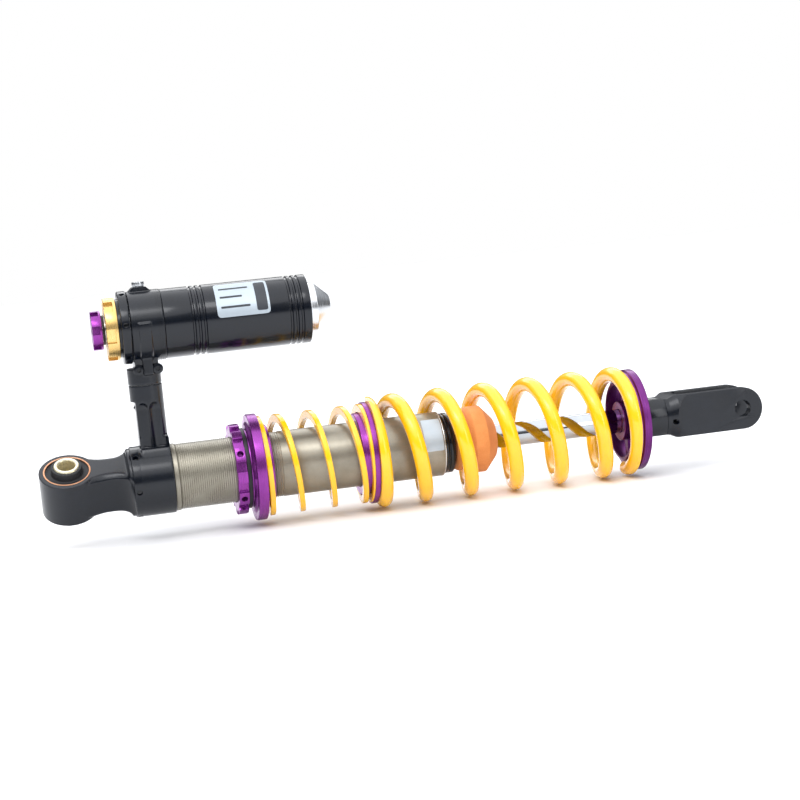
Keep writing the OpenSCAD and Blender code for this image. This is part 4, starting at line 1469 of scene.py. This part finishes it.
@dataclass
class Adjusters:
    """The lock ring and the two damping knobs on the reservoir's head."""

    cartridge_r: float = 16.0
    first_hole: float = 23.6
    gold_first: float = 41.5
    purple_first: float = 27.6

    @staticmethod
    def pockets(x0: float, x1: float, r: float, width: float, depth: float, first: float) -> Stock:
        """Makes the six finger pockets that are cut into a knob.

        Args:
            x0: The knob's outer face.
            x1: Where the pockets end.
            r: The knob's radius.
            width: Width of each pocket.
            depth: How deep the pockets are.
            first: Where the first one lies.
        """
        stock = Stock()
        for k in range(6):
            tool = Stock.block((x0 - 2, -width / 2, r - depth), (x1, width / 2, r + 3))
            stock.join(tool.turn(first + 60 * k))
        return stock

    def lock_ring(self) -> None:
        """Builds the pin-wrench ring on the cartridge."""
        span = Span.of("reservoir_lock_ring")
        outer = span.high.y
        body = Stock.ring(span.x0, span.x1, outer, self.cartridge_r + SET_FIT, 1.1)
        body.cut(spokes((span.x0 + span.x1) / 2, outer - 3.5, outer + 3, self.first_hole, 1.8))
        body.ease(0.2).raised().place("ReservoirLockRing", BLACK_HIGH, "damper_body", "reservoir_lock_ring")

    def knobs(self) -> None:
        """Builds the gold and the purple knob and the dark ring between them."""
        gold, purple = Span.of("high_speed_knob"), Span.of("low_speed_knob")
        r = gold.high.y
        body = Stock.ring(gold.x0, gold.x1, r, 9.05, 0.5)
        body.cut(self.pockets(gold.x0, gold.x1 - 2.0, r, 10.4, 2.9, self.gold_first))
        body.cut(Stock.ring(gold.x0 - 1, gold.x0 + 0.5, r - 2.8, r - 3.5, 0.1))
        body.ease(0.35).raised().place("HighSpeedKnob", GOLD_HIGH, "high_speed_adjuster", "high_speed_knob")
        r = purple.high.y
        body = Stock.ring(purple.x0, purple.x1, r, 0, 0.5)
        body.cut(self.pockets(purple.x0, purple.x1 - 1.6, r, 6.0, 2.3, self.purple_first))
        body.cut(
            Stock.ring(purple.x0 - 1, purple.x0 + 0.5, r - 2.8, r - 3.4, 0.1),
            Stock.bar((purple.x0 - 1, 0, 0), (purple.x0 + 2.2, 0, 0), 2.9, 6),
            Stock.bar(((purple.x0 + purple.x1) / 2 - 0.05, 0, 0), (purple.x1 + 1, 0, 0), 2.1, 64),
        )
        body.ease(0.35).raised().place("LowSpeedKnob", PURPLE_HIGH, "low_speed_adjuster", "low_speed_knob")
        bezel = Span.of("knob_bezel")
        Stock.ring(bezel.x0, bezel.x1, bezel.high.y, 9.05, 0.3).raised().place(
            "KnobBezel", PLASTIC, "damper_body", "knob_bezel"
        )

    def build(self) -> None:
        """Builds the whole sub-assembly."""
        self.lock_ring()
        self.knobs()


@dataclass
class Internals:
    """The CAD nodes that are kept as they are and only get their finish."""

    def build(self, frame: dict) -> None:
        """Gives every CAD node the finish of its slot.

        Args:
            frame: The loaded frame.
        """
        slots = {part["node"]: part["material_slot"] for part in frame["record"]["subparts"]}
        for node, slot in slots.items():
            obj = bpy.data.objects.get(node)
            if obj is None or obj.type != "MESH":
                continue
            finish = CAD_FINISH[slot]
            if not obj.material_slots:
                obj.data.materials.append(finish.material())
            for holder in obj.material_slots:
                holder.link = "OBJECT"
                holder.material = finish.material()
            LOG.info("%-24s keeps its CAD shape, %s", node, finish.name)


# ---- studio ----


@dataclass
class Studio:
    """The floor, the light and the camera."""

    camera_at: tuple[float, float, float] = (-20.754, -1266.295, 163.264)
    camera_turn: tuple[float, float, float] = (84.35655, 5.64533, -12.50685)
    lens: float = 78.9016
    floor_z: float = -43.0

    def floor(self) -> None:
        """Lays the pale floor."""
        paper = Finish("pale paper", "", "#f4f4f5", "#f2f2f3", 0.0, 0.8, 0.05, Grain.EVEN, 1.0, 400.0)
        work = bmesh.new()
        middle = Matrix.Translation((0.25, 0, self.floor_z * MM))
        bmesh.ops.create_grid(work, x_segments=1, y_segments=1, size=8.0, matrix=middle)
        mesh = bpy.data.meshes.new("Floor")
        work.to_mesh(mesh)
        work.free()
        mesh.materials.append(paper.material())
        sheet = bpy.data.objects.new("Floor", mesh)
        bpy.context.scene.collection.objects.link(sheet)

    def lamp(
        self, name: str, at: tuple[float, float, float], size: tuple[float, float], power: float
    ) -> None:
        """Adds one soft light that faces the middle of the object.

        Args:
            name: The light's name.
            at: Its place in metres.
            size: Its width and height in metres.
            power: Its power in watts.
        """
        data = bpy.data.lights.new(name, "AREA")
        data.shape, data.size, data.size_y, data.energy = "RECTANGLE", size[0], size[1], power
        lamp = bpy.data.objects.new(name, data)
        lamp.location = at
        aim = Vector((0.24, 0.0, 0.03)) - Vector(at)
        lamp.rotation_euler = aim.to_track_quat("-Z", "Y").to_euler()
        bpy.context.scene.collection.objects.link(lamp)

    def daylight(self) -> None:
        """Adds the broad even light that whitens the whole floor."""
        data = bpy.data.lights.new("Daylight", "SUN")
        data.energy, data.angle = 2.4, math.radians(110)
        lamp = bpy.data.objects.new("Daylight", data)
        lamp.rotation_euler = (math.radians(12), math.radians(-10), 0.0)
        bpy.context.scene.collection.objects.link(lamp)

    def sky(self) -> None:
        """Makes the surroundings white to look at, and darker at the sides in reflections."""
        world = bpy.data.worlds.new("Studio")
        world.use_nodes = True
        tree = world.node_tree
        tree.nodes.clear()
        place = add_node(tree, "ShaderNodeTexCoord")
        split = add_node(tree, "ShaderNodeSeparateXYZ", inputs={0: place.outputs["Generated"]})
        ramp = add_node(
            tree,
            "ShaderNodeMapRange",
            {"interpolation_type": "SMOOTHSTEP"},
            {"Value": split.outputs[2], "From Min": 0.1, "From Max": 0.75, "To Min": 0.13, "To Max": 1.0},
        )
        room_look = {"Color": linear("#f6f9ff"), "Strength": ramp.outputs[0]}
        room = add_node(tree, "ShaderNodeBackground", inputs=room_look)
        paper_look = {"Color": linear("#ffffff"), "Strength": 1.0}
        paper = add_node(tree, "ShaderNodeBackground", inputs=paper_look)
        path = add_node(tree, "ShaderNodeLightPath")
        choice = add_node(
            tree,
            "ShaderNodeMixShader",
            inputs={0: path.outputs["Is Camera Ray"], 1: room.outputs[0], 2: paper.outputs[0]},
        )
        add_node(tree, "ShaderNodeOutputWorld", inputs={"Surface": choice.outputs[0]})
        bpy.context.scene.world = world

    def camera(self) -> None:
        """Sets the camera."""
        data = bpy.data.cameras.new("Camera")
        data.lens, data.sensor_width, data.clip_end = self.lens, 36.0, 50.0
        camera = bpy.data.objects.new("Camera", data)
        camera.location = Vector(self.camera_at) * MM
        camera.rotation_euler = tuple(math.radians(v) for v in self.camera_turn)
        bpy.context.scene.collection.objects.link(camera)
        bpy.context.scene.camera = camera

    def build(self) -> None:
        """Builds the whole studio."""
        self.floor()
        self.sky()
        self.daylight()
        self.lamp("Key", (-0.3, -1.0, 1.4), (1.2, 0.5), 9.0)
        self.lamp("Fill", (1.2, -1.3, 0.5), (0.5, 0.9), 4.0)
        self.lamp("Rim", (0.3, 1.2, 0.9), (1.6, 0.5), 6.0)
        self.camera()
        bpy.context.scene.view_settings.view_transform = "Standard"


def springs() -> list[Spring]:
    """Returns the two springs, placed between their seats."""
    perch, ring, plate = (Span.of(n) for n in ("spring_perch", "spring_separator", "upper_spring_plate"))
    seat, top = perch.x1 - COLLAR_LENGTH, plate.x0 + SEAT_STEP
    below, above = ring.x0 + COLLAR_LENGTH, ring.x1 - COLLAR_LENGTH
    flat = rounded([(-3.1, -2.0), (3.1, -2.0), (3.1, 2.0), (-3.1, 2.0)], 0.9)
    wire = [(5.6 * math.cos(a), 5.6 * math.sin(a)) for a in (math.tau * k / 24 for k in range(24))]
    helper_keep = 1 - (STROKE * SEPARATOR_SHARE + 0.05) / (below - seat)
    main_keep = 1 - (STROKE * (1 - SEPARATOR_SHARE) + 0.05) / (top - above)
    return [
        Spring("HelperSpring", "helper_spring", "perch", flat, 33.7, seat + 0.03, below - 0.03,
               5.25, 0.8, 0.6, 4.0, 128, -1.5, helper_keep),
        Spring("MainSpring", "main_spring", "separator", wire, 36.1, above + 0.03, top - 0.03,
               6.5, 0.0, 0.9, 2.0, 0, 1.0, main_keep),
    ]


def main() -> None:
    """Builds the whole picture in order."""
    logging.basicConfig(level=logging.INFO, format="%(message)s", stream=sys.stdout)
    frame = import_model()
    Internals().build(frame)
    EyeEnd().build()
    Arm().build()
    DamperTube().build()
    SpringSeats().build()
    for spring in springs():
        spring.build()
    RodSide().build()
    Reservoir().build()
    Adjusters().build()
    Studio().build()


if __name__ == "__main__":
    main()
